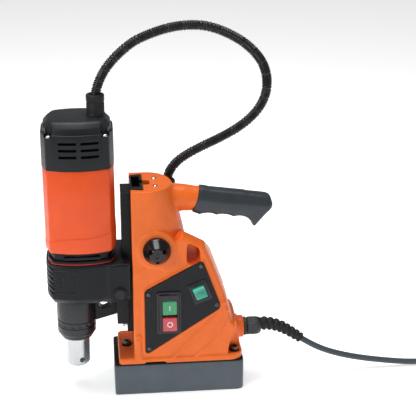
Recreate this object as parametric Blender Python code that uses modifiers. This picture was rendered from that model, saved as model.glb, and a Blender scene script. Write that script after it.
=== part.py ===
"""Magnetic drill press: an electromagnet base, a cast frame with a dovetail guide,
and a motor and gearbox that a rack and pinion feed up and down.

World frame: origin in the middle of the magnet's bottom face, +Z up, the
handle towards +X, the control panel on the -Y side.  Lengths below are in
millimetres and are turned into metres when a mesh is made.
"""
import bpy
import bmesh
from math import sin, cos, pi, radians, atan2, sqrt
from mathutils import Vector, Matrix

MM = 0.001
GAP = 0.3                                   # air between pieces that touch

# ---- electromagnet base
BASE_HALF_X, BASE_HALF_Y, BASE_TOP = 85.0, 43.5, 42.0
COIL_IN, COIL_OUT, COIL_FLOOR, COIL_TOP = 12.0, 30.0, 3.0, 32.0
GASKET_TOP = 43.2
# ---- cast frame
FOOT_BOTTOM, FOOT_TOP = 43.5, 52.0
FOOT_FRONT, FOOT_REAR, FOOT_HALF_Y = -79.0, 84.0, 43.0
COL_FRONT, COL_TOP, COL_HALF_Y = -58.8, 280.0, 39.5
BODY_HALF_Y = 41.5
# ---- guide
SLIDE_FRONT, SLIDE_STEP, SLIDE_BACK = -71.0, -58.0, -43.2
SLIDE_HALF_FRONT, DOVE_NARROW, DOVE_WIDE = 19.0, 27.0, 31.0
SLIDE_LOW, SLIDE_TOP_FRONT, SLIDE_TOP_BACK = 80.0, 272.5, 281.0
# ---- feed
PINION_X, PINION_Z, FEED_MODULE, PINION_TEETH = -27.7, 202.5, 1.5, 18
PINION_RADIUS = FEED_MODULE * PINION_TEETH / 2
RACK_LINE_X = PINION_X - PINION_RADIUS
RACK_HALF_Y = 6.0
# ---- motor, gearbox and spindle
MOTOR_X, SPINDLE_X = -122.5, -132.5
IDLER_X, IDLER_Y = MOTOR_X + 20.65, 12.23
MOTOR_HALF, CROWN_HALF, CROWN_R, FLAT_HALF = 45.0, 39.0, 93.7, 19.0
BOX_LOW, BOX_TOP = 131.5, 186.0
NECK_LOW, NECK_TOP = 188.0, 201.0
HOUSING_TOP, CAP_TOP = 311.0, 371.0
BOOT_X, BOOT_TOP = -98.5, 397.0
QUILL_R, QUILL_LOW = 25.3, 70.0
ARBOR_R, ARBOR_LOW, ARBOR_BORE_R, ARBOR_BORE_TOP = 16.3, 30.0, 9.5, 64.0
# ---- grip, joined to the frame on a leaning plane
GRIP_FRONT, GRIP_MID, GRIP_LEAN = 25.4, 256.0, 0.33
GIB_SCREW_Z = (235.0, 262.0)
# ---- switches, on the panel on the near side
PANEL_BACK, PANEL_FRONT = -41.8, -44.2
SWITCH_X, SWITCH_Z = -13.2, 116.5
ROCKER_X, ROCKER_Z, ROCKER_TILT = 26.7, 144.0, radians(21)
BUTTON_X, BUTTON_HALF, BUTTON_TRAVEL = -12.6, 9.0, 3.0
START_Z, STOP_Z = 125.2, 102.2
BEZEL_FRONT, BUTTON_FRONT = -48.6, -50.4
# ---- cable gland, cord and hose
GLAND_Z = 71.5
CORD_R, HOSE_R = 4.0, 6.4
CORD_ROUTE = [(112, 0, 74.2), (122, 0, 73.6), (132, 0, 71.2), (141.5, 0, 67.2), (150.5, 0, 61.8),
              (159, 0, 56.0), (167, 0, 50.2), (180, 0, 41.6), (195, 0, 33.2), (209, 0, 27.3),
              (223, 0, 22.6), (237, 0, 18.8), (251, 0, 15.6), (265, 0, 12.9), (279, 0, 10.6),
              (292, 0, 8.6), (305, 0, 6.9), (318, 0, 5.6), (332, 0, 4.8), (346, 0, 4.4), (360, 0, 4.5),
              (372, 0, 4.8), (384.5, 0, 5.1)]
CORD_STEP = 12.0
COIL_X, COIL_Y, COIL_Z, COIL_MEAN_R, COIL_HALF = 417.0, 56.0, 13.2, 48.0, 12.0
PLUG_X, PLUG_Y, PLUG_Z = 417.0, 104.0, 41.4
HOSE_ROUTE = [(-98.5, 0, 382), (-98.5, 0, 392), (-96.5, 0.3, 402), (-92.8, 0.6, 412.5), (-86.1, 1.4, 425),
              (-76.4, 2.3, 437.3), (-63.6, 3.4, 449.4), (-47.8, 4.6, 460.7), (-27.3, 5.7, 469.4),
              (-5.3, 7, 475.6), (16, 8.3, 478), (35.5, 9.7, 477), (52.5, 11, 472.6), (70.5, 12.6, 464.6),
              (87.5, 14.1, 454), (101.3, 15.6, 441.4), (111.4, 17.2, 427.6), (117, 18.8, 412.4),
              (118.5, 20.5, 397.8), (116.4, 22.1, 382.8), (109.2, 23.9, 367), (97.4, 25.5, 352.8),
              (81.3, 27.4, 339.7), (60.2, 29.1, 327.4), (37.4, 31, 316), (20, 32.8, 306.4), (7, 35, 296.8),
              (-1.4, 37.4, 287), (-6.4, 39.3, 277), (-8, 40, 268), (-8, 40, 258)]
HOSE_X, HOSE_Y = HOSE_ROUTE[-1][:2]

PAINT = {
    "orange": ((0.80, 0.20, 0.045), 0.0, 0.42), "red_orange": ((0.74, 0.13, 0.04), 0.0, 0.38),
    "slate": ((0.09, 0.11, 0.13), 0.0, 0.5), "black": ((0.02, 0.021, 0.024), 0.0, 0.45),
    "gear_black": ((0.028, 0.03, 0.034), 0.0, 0.45), "rubber": ((0.02, 0.02, 0.022), 0.0, 0.75),
    "steel": ((0.56, 0.57, 0.58), 1.0, 0.32), "dark_steel": ((0.16, 0.16, 0.17), 1.0, 0.4),
    "copper": ((0.72, 0.32, 0.16), 1.0, 0.4), "brass": ((0.66, 0.47, 0.18), 1.0, 0.35),
    "green": ((0.06, 0.42, 0.16), 0.0, 0.35), "red": ((0.62, 0.06, 0.07), 0.0, 0.35),
    "teal": ((0.05, 0.36, 0.27), 0.0, 0.3), "resin": ((0.05, 0.05, 0.05), 0.0, 0.6),
    "board": ((0.03, 0.16, 0.07), 0.0, 0.5), "gasket_red": ((0.5, 0.05, 0.03), 0.0, 0.6),
    "grey_cord": ((0.10, 0.12, 0.14), 0.0, 0.6),
}

PARTS = bpy.data.collections.new("magnetic_drill_press")
CUTTERS = bpy.data.collections.new("cutters")


def reset_scene():
    for obj in list(bpy.data.objects):
        bpy.data.objects.remove(obj, do_unlink=True)
    for group in (PARTS, CUTTERS):
        bpy.context.scene.collection.children.link(group)


def material(name, kind):
    colour, metallic, rough = PAINT[kind]
    mat = bpy.data.materials.new(name)
    mat.use_nodes = True
    shader = mat.node_tree.nodes["Principled BSDF"]
    shader.inputs["Base Color"].default_value = (*colour, 1.0)
    shader.inputs["Metallic"].default_value = metallic
    shader.inputs["Roughness"].default_value = rough
    return mat


def make(name, bm, kind=None, origin=(0.0, 0.0, 0.0)):
    """A millimetre bmesh becomes an object in metres; with no kind it is a cutter."""
    bmesh.ops.recalc_face_normals(bm, faces=bm.faces)
    base = Vector(origin)
    for vert in bm.verts:
        vert.co = (vert.co - base) * MM
    mesh = bpy.data.meshes.new(name)
    bm.to_mesh(mesh)
    bm.free()
    obj = bpy.data.objects.new(name, mesh)
    obj.location = base * MM
    if kind is None:
        obj.hide_render = True
        obj.display_type = 'WIRE'
        CUTTERS.objects.link(obj)
    else:
        mesh.materials.append(material(name, kind))
        PARTS.objects.link(obj)
    return obj


def combine(obj, bm, operation='DIFFERENCE'):
    """Cut a millimetre bmesh out of an object, or join it on."""
    tool = make("%s_tool_%d" % (obj.name, len(obj.modifiers)), bm)
    mod = obj.modifiers.new(tool.name, 'BOOLEAN')
    mod.operation = operation
    mod.solver = 'EXACT'
    mod.object = tool
    return obj


def join(obj, bm):
    return combine(obj, bm, 'UNION')


def bevel(obj, width, angle=35.0, segments=2):
    mod = obj.modifiers.new("edge", 'BEVEL')
    mod.width = width * MM
    mod.segments = segments
    mod.limit_method = 'ANGLE'
    mod.angle_limit = radians(angle)
    return obj


# ---------------------------------------------------------------- shapes
def loft(rings):
    """Closed body through rings that all hold the same number of points."""
    bm = bmesh.new()
    rows = [[bm.verts.new(p) for p in ring] for ring in rings]
    count = len(rows[0])
    for low, high in zip(rows, rows[1:]):
        for i in range(count):
            j = (i + 1) % count
            bm.faces.new((low[i], low[j], high[j], high[i]))
    bm.faces.new(rows[0][::-1])
    bm.faces.new(rows[-1])
    return bm


def facets(bm):
    """Triangles throughout, so that no face of a loft is bent."""
    bmesh.ops.triangulate(bm, faces=bm.faces)
    return bm


def prism(outline, low, high, axis='Z'):
    place = {'X': lambda u, v, w: (w, u, v), 'Y': lambda u, v, w: (u, w, v), 'Z': lambda u, v, w: (u, v, w)}[axis]
    return loft([[place(u, v, w) for u, v in outline] for w in (low, high)])


def box(x0, x1, y0, y1, z0, z1):
    return prism([(x0, y0), (x1, y0), (x1, y1), (x0, y1)], z0, z1)


def turned(profile, centre, axis='Z', steps=32):
    """Revolve (radius, height) points; a profile that starts or ends off the axis is a ring."""
    bm = bmesh.new()
    spots = []
    for radius, height in profile:
        ring = []
        for k in range(1 if radius == 0 else steps):
            a = 2 * pi * (k + 0.5) / steps
            u, v = radius * cos(a), radius * sin(a)
            offset = {'Z': (u, v, height), 'Y': (u, height, v), 'X': (height, u, v)}[axis]
            ring.append(bm.verts.new(Vector(centre) + Vector(offset)))
        spots.append(ring)
    pairs = list(zip(spots, spots[1:]))
    if profile[0][0] and profile[-1][0]:
        pairs.append((spots[-1], spots[0]))
    for one, two in pairs:
        for k in range(steps):
            j = (k + 1) % steps
            quad = []
            for vert in (one[k % len(one)], one[j % len(one)], two[j % len(two)], two[k % len(two)]):
                if vert not in quad:
                    quad.append(vert)
            if len(quad) > 2:
                bm.faces.new(quad)
    return bm


def disc(radius, low, high, centre, axis='Z', steps=32):
    return turned([(0, low), (radius, low), (radius, high), (0, high)], centre, axis, steps)


def ring(inner, outer, low, high, centre, axis='Z', steps=32):
    return turned([(inner, low), (outer, low), (outer, high), (inner, high)], centre, axis, steps)


def rounded(half_x, half_y, radius, centre=(0.0, 0.0), steps=5):
    points = []
    for cx, cy, start in ((1, 1, 0), (-1, 1, 90), (-1, -1, 180), (1, -1, 270)):
        for k in range(steps + 1):
            a = radians(start + 90.0 * k / steps)
            points.append((centre[0] + cx * (half_x - radius) + radius * cos(a),
                           centre[1] + cy * (half_y - radius) + radius * sin(a)))
    return points


def spun(bm, centre, angle, axis):
    bmesh.ops.rotate(bm, verts=bm.verts, cent=Vector(centre), matrix=Matrix.Rotation(angle, 3, axis))
    return bm


def gear_outline(module, teeth, phase=0.0, tip=(0.95, 0.115), foot=(1.25, 0.34)):
    """Straight-flanked teeth, slim enough to run with backlash; tip and foot are height and half width."""
    pitch, points = module * teeth / 2, []
    for k in range(teeth):
        for radius, share in ((pitch - foot[0] * module, -foot[1]), (pitch + tip[0] * module, -tip[1]),
                              (pitch + tip[0] * module, tip[1]), (pitch - foot[0] * module, foot[1])):
            a = phase + 2 * pi * (k + share) / teeth
            points.append((radius * cos(a), radius * sin(a)))
    return points


def sweep(route, radius, steps=12, bore=0.0):
    """A round tube along a route, solid or with a bore, its rings kept free of twist."""
    spots = [Vector(p) for p in route]
    rows, inner, side = [], [], Vector((0, 1, 0))
    for k, spot in enumerate(spots):
        ahead = spots[min(k + 1, len(spots) - 1)] - spots[max(k - 1, 0)]
        ahead.normalize()
        side = (side - ahead * side.dot(ahead)).normalized()
        up = ahead.cross(side)
        size = radius[k] if isinstance(radius, list) else radius
        turn = [side * cos(2 * pi * j / steps) + up * sin(2 * pi * j / steps) for j in range(steps)]
        rows.append([spot + t * size for t in turn])
        inner.append([spot + t * bore for t in turn])
    if not bore:
        return loft(rows)
    bm = bmesh.new()
    loop = rows + inner[::-1]
    verts = [[bm.verts.new(p) for p in row] for row in loop]
    for one, two in zip(verts, verts[1:] + verts[:1]):
        for j in range(steps):
            bm.faces.new((one[j], one[(j + 1) % steps], two[(j + 1) % steps], two[j]))
    return bm


# ---------------------------------------------------------------- base and frame
def build_base():
    housing = make("magnet_housing", prism(base_plan(BASE_HALF_X, BASE_HALF_Y, 3.0, 9.0), 0, BASE_TOP), "slate")
    outer = rounded(BASE_HALF_X - 12, COIL_OUT, 12)
    combine(housing, prism(outer, -1, COIL_TOP))
    centre_pole = rounded(BASE_HALF_X - 12 - (COIL_OUT - COIL_IN), COIL_IN, 6)
    join(housing, prism(centre_pole, 0, COIL_TOP + 4))
    for x, y in bolt_places():
        combine(housing, disc(2.7, BASE_TOP - 8, BASE_TOP + 1, (x, y, 0), steps=16))
    windings = (("magnet_coil", "copper", COIL_FLOOR + 1, COIL_TOP - 1.0, 1.0),
                ("magnet_potting", "resin", 0.3, COIL_FLOOR + 0.5, GAP))
    for name, kind, low, high, slack in windings:
        filling = prism(rounded(BASE_HALF_X - 12 - slack, COIL_OUT - slack, 12 - slack), low, high)
        solid = make(name, filling, kind)
        combine(solid, prism(rounded(BASE_HALF_X - 30 + slack, COIL_IN + slack, 6 + slack), low - 1, high + 1))
    gasket = make("base_gasket", prism(base_plan(BASE_HALF_X - 0.4, BASE_HALF_Y - 0.4, 3.0, 9.0),
                                       BASE_TOP + GAP, GASKET_TOP), "rubber")
    for x, y in bolt_places():
        combine(gasket, disc(3.4, BASE_TOP, GASKET_TOP + 1, (x, y, 0), steps=16))


def base_plan(half_x, half_y, front_radius, rear_radius, steps=5):
    points = []
    for sx, sy, start, radius in ((1, 1, 0, rear_radius), (-1, 1, 90, front_radius),
                                  (-1, -1, 180, front_radius), (1, -1, 270, rear_radius)):
        for k in range(steps + 1):
            a = radians(start + 90.0 * k / steps)
            points.append((sx * (half_x - radius) + radius * cos(a), sy * (half_y - radius) + radius * sin(a)))
    return points


def bolt_places():
    return ((-67.5, 0.0), (73.5, -30.0), (73.5, 30.0))


def boat(front, straight, tip, half_y, steps=10):
    """Plan of the column: flat sides that close in a half ellipse at the rear."""
    points = [(front, -half_y)]
    for k in range(steps + 1):
        a = -pi / 2 + pi * k / steps
        points.append((straight + (tip - straight) * cos(a), half_y * sin(a)))
    points.append((front, half_y))
    return points


def body_side(inset):
    """Side outline of the lower body; the inset pulls its rear and top edges in."""
    i = inset
    front = COL_FRONT + 0.6
    return [(front, 50.0), (front, 170.0), (-30.0, 186.0), (-9.0, 207.0), (5.5 - i * 0.3, 225.0 - i),
            (34.0 - i * 0.5, 209.5 - i), (37.2 - i, 202.0), (45.3 - i, 180.0), (55.2 - i, 152.5),
            (62.8 - i, 131.5), (70.5 - i, 98.0), (76.0 - i, 96.0 - i), (79.5 - i, 72.0), (83.0 - i, 50.0)]


def build_frame():
    foot = loft([[(x, y, z) for x, y in foot_plan()] for z in (FOOT_BOTTOM, FOOT_TOP)])
    frame = make("frame_casting", foot, "orange")
    levels = ((51.0, 15.0, COL_HALF_Y), (190.0, 15.0, COL_HALF_Y), (225.0, 7.8, COL_HALF_Y), (240.0, 4.3, COL_HALF_Y),
              (COL_TOP - 1.5, -4.6, COL_HALF_Y), (COL_TOP, -6.4, COL_HALF_Y - 1.5))
    column = [[(x, y, z) for x, y in boat(COL_FRONT, -38.0, tip, half)] for z, tip, half in levels]
    join(frame, facets(loft(column)))
    insets = ((-BODY_HALF_Y, 5.5), (-38.5, 2.4), (-31.0, 0.6), (-20.0, 0.0),
              (20.0, 0.0), (31.0, 0.6), (38.5, 2.4), (BODY_HALF_Y, 5.5))
    join(frame, facets(loft([[(x, y, z) for x, z in body_side(inset)] for y, inset in insets])))
    build_handle_root(frame)
    for side in (-1, 1):
        face = side * (BODY_HALF_Y + 1.2)
        low, high = sorted((side * 30.0, face))
        join(frame, disc(24.2, low, high, (PINION_X, 0, PINION_Z), 'Y', 32))
        low, high = sorted((side * 31.0, side * (BODY_HALF_Y + 0.8)))
        join(frame, disc(9.0, low, high, (-15.0, 0, 183.0), 'Y', 20))
    join(frame, disc(14.5, 62.0, 88.5, (0, 0, GLAND_Z), 'X', 28))
    join(frame, disc(11.3, 196.0, 262.0, (HOSE_X, HOSE_Y, 0), steps=26))
    cut_frame(frame)


def foot_plan():
    points = [(FOOT_FRONT, FOOT_HALF_Y - 5), (FOOT_FRONT, -FOOT_HALF_Y + 3), (FOOT_FRONT + 3, -FOOT_HALF_Y)]
    for sy, start in ((-1, 270), (1, 0)):
        for k in range(6):
            a = radians(start + 18.0 * k)
            points.append((FOOT_REAR - 16 + 16 * cos(a), sy * (FOOT_HALF_Y - 16) + 16 * sin(a)))
    points.append((FOOT_FRONT + 5, FOOT_HALF_Y))
    return points


def build_handle_root(frame):
    """Tapered stub that carries the grip, leaning down a little towards the rear."""
    rings = []
    for x, z, half_y, half_z in ((-40.0, 259.5, 19.5, 18.0), (-8.0, 258.6, 19.5, 19.2), (6.0, 257.6, 17.6, 17.4),
                                 (18.0, 256.6, 16.2, 15.9), (25.0, 256.0, 15.8, 15.6)):
        rings.append([(x + GRIP_LEAN * half_z * sin(2 * pi * k / 20) * (x > 0), half_y * cos(2 * pi * k / 20),
                       z + half_z * sin(2 * pi * k / 20)) for k in range(20)])
    join(frame, facets(loft(rings)))


def cut_frame(frame):
    mouth, deep = DOVE_NARROW + GAP, DOVE_WIDE + GAP
    gib = 3.2
    channel = [(COL_FRONT - 3, -mouth), (SLIDE_STEP, -mouth), (SLIDE_BACK + GAP, -deep),
               (SLIDE_BACK + GAP, deep + gib), (SLIDE_STEP, mouth + gib), (COL_FRONT - 3, mouth + gib)]
    combine(frame, prism(channel, FOOT_TOP + 0.4, COL_TOP + 1))
    combine(frame, box(SLIDE_BACK - 2, RACK_LINE_X + 7.5, -8.5, 8.5, FOOT_TOP + 0.4, COL_TOP + 1))
    combine(frame, disc(17.2, -8.4, 8.4, (PINION_X, 0, PINION_Z), 'Y', 32))
    combine(frame, disc(9.6, -BODY_HALF_Y - 4, BODY_HALF_Y + 4, (PINION_X, 0, PINION_Z), 'Y', 28))
    slot = [(11.5, 209.5), (14.5, 211.0), (24.0, 205.5), (26.2, 202.0), (27.0, 184.5), (24.5, 181.0),
            (13.5, 182.5), (11.0, 185.0)]
    combine(frame, prism(slot, -BODY_HALF_Y - 3, BODY_HALF_Y + 3, 'Y'))
    cavity = [(-36.0, 71.0), (44.0, 120.5), (44.5, 126.0), (28.0, 172.0), (-36.0, 139.5)]
    combine(frame, prism(cavity, -BODY_HALF_Y - 2, -13.0, 'Y'))
    combine(frame, disc(5.5, 10.0, 95.0, (0, 0, GLAND_Z + 8), 'X', 16))
    combine(frame, box(4.0, 16.0, -30.0, 5.0, 74.0, 86.0))
    for x, z in panel_screws():
        combine(frame, disc(1.8, -BODY_HALF_Y - 1, -33.0, (x, 0, z), 'Y', 12))
    for x, y in bolt_places():
        head, wide, top = FOOT_TOP - 5, 8.5 if y else 6.6, 112.0 if y else FOOT_TOP + 6
        combine(frame, turned([(0, FOOT_BOTTOM - 1), (3.4, FOOT_BOTTOM - 1), (3.4, head), (6.6, head),
                               (wide, head + 5.5), (wide, top), (0, top)], (x, y, 0), steps=22))
    combine(frame, disc(HOSE_R + 1.7, 251.0, 266.0, (HOSE_X, HOSE_Y, 0), steps=18))
    for z in GIB_SCREW_Z:
        combine(frame, disc(2.3, 20.0, BODY_HALF_Y + 2, (-50.5, 0, z), 'Y', 12))
    combine(frame, prism([(-46.0, 43.0), (-17.0, 43.0), (-19.0, 45.2), (-44.0, 45.2)],
                         -FOOT_HALF_Y - 1, -FOOT_HALF_Y + 12, 'Y'))


def panel_screws():
    return ((-39.2, 142.6), (28.0, 179.3), (48.6, 124.6), (-39.8, 66.0))


def build_frame_fittings():
    for (x, y), name in zip(bolt_places(), ("base_bolt_front", "base_bolt_near", "base_bolt_far")):
        bolt = make(name, turned([(0, BASE_TOP - 6), (2.5, BASE_TOP - 6), (2.5, FOOT_TOP - 4.7), (5.0, FOOT_TOP - 4.7),
                                  (5.0, FOOT_TOP + 1), (0, FOOT_TOP + 1)], (x, y, 0), steps=14), "steel")
        combine(bolt, disc(2.5, FOOT_TOP - 2, FOOT_TOP + 2, (x, y, 0), steps=6))
    for k, z in enumerate(GIB_SCREW_Z):
        make("gib_screw_%d" % (k + 1), disc(1.9, DOVE_WIDE + 2.2, COL_HALF_Y + 0.6, (-50.5, 0, z), 'Y', 12), "steel")
    shift = 1.6
    gib = [(SLIDE_STEP + 1.0, DOVE_NARROW + shift - 0.7), (SLIDE_BACK - 0.8, DOVE_WIDE + shift - 1.0),
           (SLIDE_BACK - 0.8, DOVE_WIDE + shift + 1.0), (SLIDE_STEP + 1.0, DOVE_NARROW + shift + 1.3)]
    make("gib_strip", prism(gib, 190.0, COL_TOP - 1), "brass")
    for side, name in ((-1, "feed_bush_near"), (1, "feed_bush_far")):
        low, high = sorted((side * 22.0, side * (BODY_HALF_Y + 0.5)))
        make(name, ring(6.35, 9.3, low, high, (PINION_X, 0, PINION_Z), 'Y', 28), "brass")
    grip = build_grip()
    bevel(grip, 1.0, 50, 1)
    bore = turned([(HOSE_R + 0.9, 258.5), (HOSE_R + 1.3, 258.5), (HOSE_R + 1.3, 262.3), (10.2, 262.3),
                   (10.2, 268.5), (9.2, 270.0), (HOSE_R + 0.9, 270.0)], (HOSE_X, HOSE_Y, 0), steps=24)
    make("hose_gland", bore, "black")
    make("conduit_hose", sweep(HOSE_ROUTE, HOSE_R, 10), "rubber")


def build_grip():
    """Pistol grip with four finger waves below and a hooked end."""
    top = [(30.4, 271.6), (60.0, 268.0), (89.0, 263.2), (104.0, 261.4), (116.0, 259.4)]
    low = [(20.2, 240.4), (32.6, 237.6), (40.0, 236.6), (47.0, 238.2), (52.6, 235.4), (60.0, 235.2), (69.0, 236.4),
           (74.5, 232.4), (84.0, 232.0), (92.5, 230.2), (97.0, 222.0), (101.0, 219.2)]
    outline = low + [(104.0, 220.2), (122.0, 243.0), (123.8, 250.0), (121.0, 256.5)] + top[::-1]
    centre_z = 250.0
    rings = []
    for y, shrink in ((-14.8, 0.55), (-13.2, 0.80), (-9.5, 0.95), (-4.0, 1.0), (4.0, 1.0), (9.5, 0.95),
                      (13.2, 0.80), (14.8, 0.55)):
        row = []
        for x, z in outline:
            mid = centre_z + 5.5 - 0.085 * x if x < 95 else 245.0
            z = mid + (z - mid) * shrink
            if x < 31:
                x = GRIP_FRONT + GRIP_LEAN * (z - GRIP_MID)
            row.append((x - (1 - shrink) * 6.0 * (x > 95), y, z))
        rings.append(row)
    return make("handle_grip", loft(rings), "black")


def build_panel():
    outline = [(-44.0, 62.0), (-40.8, 60.6), (50.6, 119.8), (52.4, 125.0), (31.6, 182.4), (27.0, 184.8),
               (-42.0, 147.8), (-44.0, 145.0)]
    panel = make("control_panel", prism(outline, PANEL_FRONT, PANEL_BACK, 'Y'), "black")
    combine(panel, box(SWITCH_X - 11.6, SWITCH_X + 11.6, -50, -40, SWITCH_Z - 24.8, SWITCH_Z + 24.8))
    combine(panel, spun(box(ROCKER_X - 9.6, ROCKER_X + 9.6, -50, -40, ROCKER_Z - 11.1, ROCKER_Z + 11.1),
                        (ROCKER_X, 0, ROCKER_Z), -ROCKER_TILT, 'Y'))
    for k, (x, z) in enumerate(panel_screws()):
        combine(panel, disc(1.8, -50, -40, (x, 0, z), 'Y', 12))
        screw = turned([(0, PANEL_FRONT - 1.9), (2.2, PANEL_FRONT - 1.9), (2.9, PANEL_FRONT - GAP),
                        (1.4, PANEL_FRONT - GAP), (1.4, -34.0), (0, -34.0)], (x, 0, z), 'Y', 14)
        screw = make("panel_screw_%d" % (k + 1), screw, "steel")
        combine(screw, box(x - 0.4, x + 0.4, -50, PANEL_FRONT - 1.1, z - 1.5, z + 1.5))
    build_switches()
    make("control_board", box(-32.0, -26.5, -38.0, -16.0, 84.0, 132.0), "board")


def build_switches():
    bezel = [(SWITCH_X + x, SWITCH_Z + z) for x, z in rounded(15.7, 29.6, 2.5, steps=3)]
    switch = make("motor_switch_body", prism(bezel, BEZEL_FRONT, PANEL_FRONT - GAP, 'Y'), "black")
    join(switch, box(SWITCH_X - 11, SWITCH_X + 11, PANEL_FRONT - 1, -18, SWITCH_Z - 24.2, SWITCH_Z + 24.2))
    for name, z, kind in (("start_button", START_Z, "green"), ("stop_button", STOP_Z, "red")):
        hole = rounded(BUTTON_HALF + 0.5, BUTTON_HALF + 0.5, 1.4, (BUTTON_X, z), 2)
        combine(switch, prism(hole, -60, PANEL_FRONT + 0.6, 'Y'))
        face = rounded(BUTTON_HALF, BUTTON_HALF, 1.2, (BUTTON_X, z), 2)
        make(name, prism(face, BUTTON_FRONT, PANEL_FRONT + 0.4 - BUTTON_TRAVEL, 'Y'), kind)
    pivot = (ROCKER_X, PANEL_FRONT - 0.6, ROCKER_Z)
    mount = [(ROCKER_X + x, ROCKER_Z + z) for x, z in rounded(12.2, 14.0, 1.6, steps=2)]
    body = make("magnet_switch_body", spun(prism(mount, -46.6, PANEL_FRONT - GAP, 'Y'), pivot, -ROCKER_TILT, 'Y'),
                "black")
    join(body, spun(box(ROCKER_X - 9.2, ROCKER_X + 9.2, -45.2, -26, ROCKER_Z - 10.7, ROCKER_Z + 10.7),
                    pivot, -ROCKER_TILT, 'Y'))
    combine(body, spun(box(ROCKER_X - 8.0, ROCKER_X + 8.0, -55, -38.6, ROCKER_Z - 9.6, ROCKER_Z + 9.6),
                       pivot, -ROCKER_TILT, 'Y'))
    profile = [(-8.9, -47.2), (0.0, -46.4), (8.9, -48.8), (8.6, -43.6), (3.0, -41.0), (-3.0, -41.0), (-8.6, -43.0)]
    rocker = loft([[(ROCKER_X + x, y, ROCKER_Z + z) for z, y in profile] for x in (-7.6, 7.6)])
    make("magnet_rocker", spun(rocker, pivot, -ROCKER_TILT, 'Y'), "teal", origin=pivot)


def build_gland_and_cord():
    boss = 88.5 + GAP
    body = turned([(4.6, boss), (12.2, boss), (12.2, boss + 3.4), (9.4, boss + 3.4), (9.4, boss + 9.0),
                   (4.6, boss + 9.0)], (0, 0, GLAND_Z), 'X', 24)
    make("cable_gland", body, "black")
    nut = make("gland_nut", disc(13.6, 93.2, 107.0, (0, 0, GLAND_Z), 'X', 6), "black")
    join(nut, turned([(0, 103.0), (11.4, 103.0), (11.4, 108.5), (9.0, 112.0), (0, 112.0)], (0, 0, GLAND_Z), 'X', 20))
    combine(nut, turned([(0, 90.0), (9.9, 90.0), (9.9, 102.0), (5.6, 102.0), (5.6, 115.0), (0, 115.0)],
                        (0, 0, GLAND_Z), 'X', 18))
    spots = smooth_route(CORD_ROUTE, CORD_STEP)
    build_cord(spots)
    guard = [spots[0].lerp(spots[1], 0.12)] + spots[1:6]
    make("bend_protector", sweep(guard, [9.6, 9.3, 8.9, 8.5, 8.0, 7.6], 16, bore=CORD_R + GAP), "rubber")
    half = COIL_HALF - 2.5
    corner = [(COIL_MEAN_R - COIL_HALF, half), (COIL_MEAN_R - half, COIL_HALF), (COIL_MEAN_R + half, COIL_HALF),
              (COIL_MEAN_R + COIL_HALF, half), (COIL_MEAN_R + COIL_HALF, -half), (COIL_MEAN_R + half, -COIL_HALF),
              (COIL_MEAN_R - half, -COIL_HALF), (COIL_MEAN_R - COIL_HALF, -half)]
    make("mains_coil", turned(corner, (COIL_X, COIL_Y, COIL_Z), steps=28), "grey_cord")
    plug = [(0, 20), (5, 20), (6.5, 2), (15.5, -3), (15.8, -22), (14.5, -24), (0, -24)]
    plug = make("mains_plug", turned(plug, (PLUG_X, PLUG_Y, PLUG_Z), 'X', 20), "black")
    for side in (-1, 1):
        join(plug, disc(2.4, -43, -20, (PLUG_X, PLUG_Y + side * 9.5, PLUG_Z), 'X', 10))


def smooth_route(route, step):
    """Points a step apart on the smooth curve through a route's own points."""
    spots = [Vector(p) for p in route]
    spots = [spots[0] * 2 - spots[1]] + spots + [spots[-1] * 2 - spots[-2]]
    fine = []
    for a, b, c, d in zip(spots, spots[1:], spots[2:], spots[3:]):
        for k in range(8):
            t = k / 8
            fine.append(0.5 * (2 * b + (c - a) * t + (2 * a - 5 * b + 4 * c - d) * t * t
                               + (3 * b - 3 * c + d - a) * t ** 3))
    fine.append(spots[-2])
    points, gone = [fine[0]], 0.0
    for one, two in zip(fine, fine[1:]):
        gone += (two - one).length
        if gone >= step:
            points.append(two)
            gone = 0.0
    if (points[-1] - fine[-1]).length < step / 2:
        points.pop()
    return points + [fine[-1]]


def build_cord(spots):
    curve = bpy.data.curves.new("mains_cord", 'CURVE')
    curve.dimensions = '3D'
    curve.bevel_depth = CORD_R * MM
    curve.bevel_resolution = 2
    curve.use_fill_caps = True
    spline = curve.splines.new('POLY')
    spline.points.add(len(spots) - 1)
    for point, spot in zip(spline.points, spots):
        point.co = (*(spot * MM), 1.0)
    curve.materials.append(material("mains_cord", "grey_cord"))
    PARTS.objects.link(bpy.data.objects.new("mains_cord", curve))


# ---------------------------------------------------------------- carriage
def motor_section(half, steps=8):
    """Plan of the motor: crowned near and far faces, corner flats and straight sides."""
    scale = half / MOTOR_HALF
    points = []
    for side in (1, -1):
        for k in range(steps + 1):
            x = CROWN_HALF * (1 - 2 * k / steps)
            y = MOTOR_HALF - CROWN_R + sqrt(CROWN_R ** 2 - x ** 2)
            points.append((MOTOR_X + side * x * scale, side * y * scale))
        points += [(MOTOR_X - side * half, side * FLAT_HALF * scale), (MOTOR_X - side * half, -side * FLAT_HALF * scale)]
    return points


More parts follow.
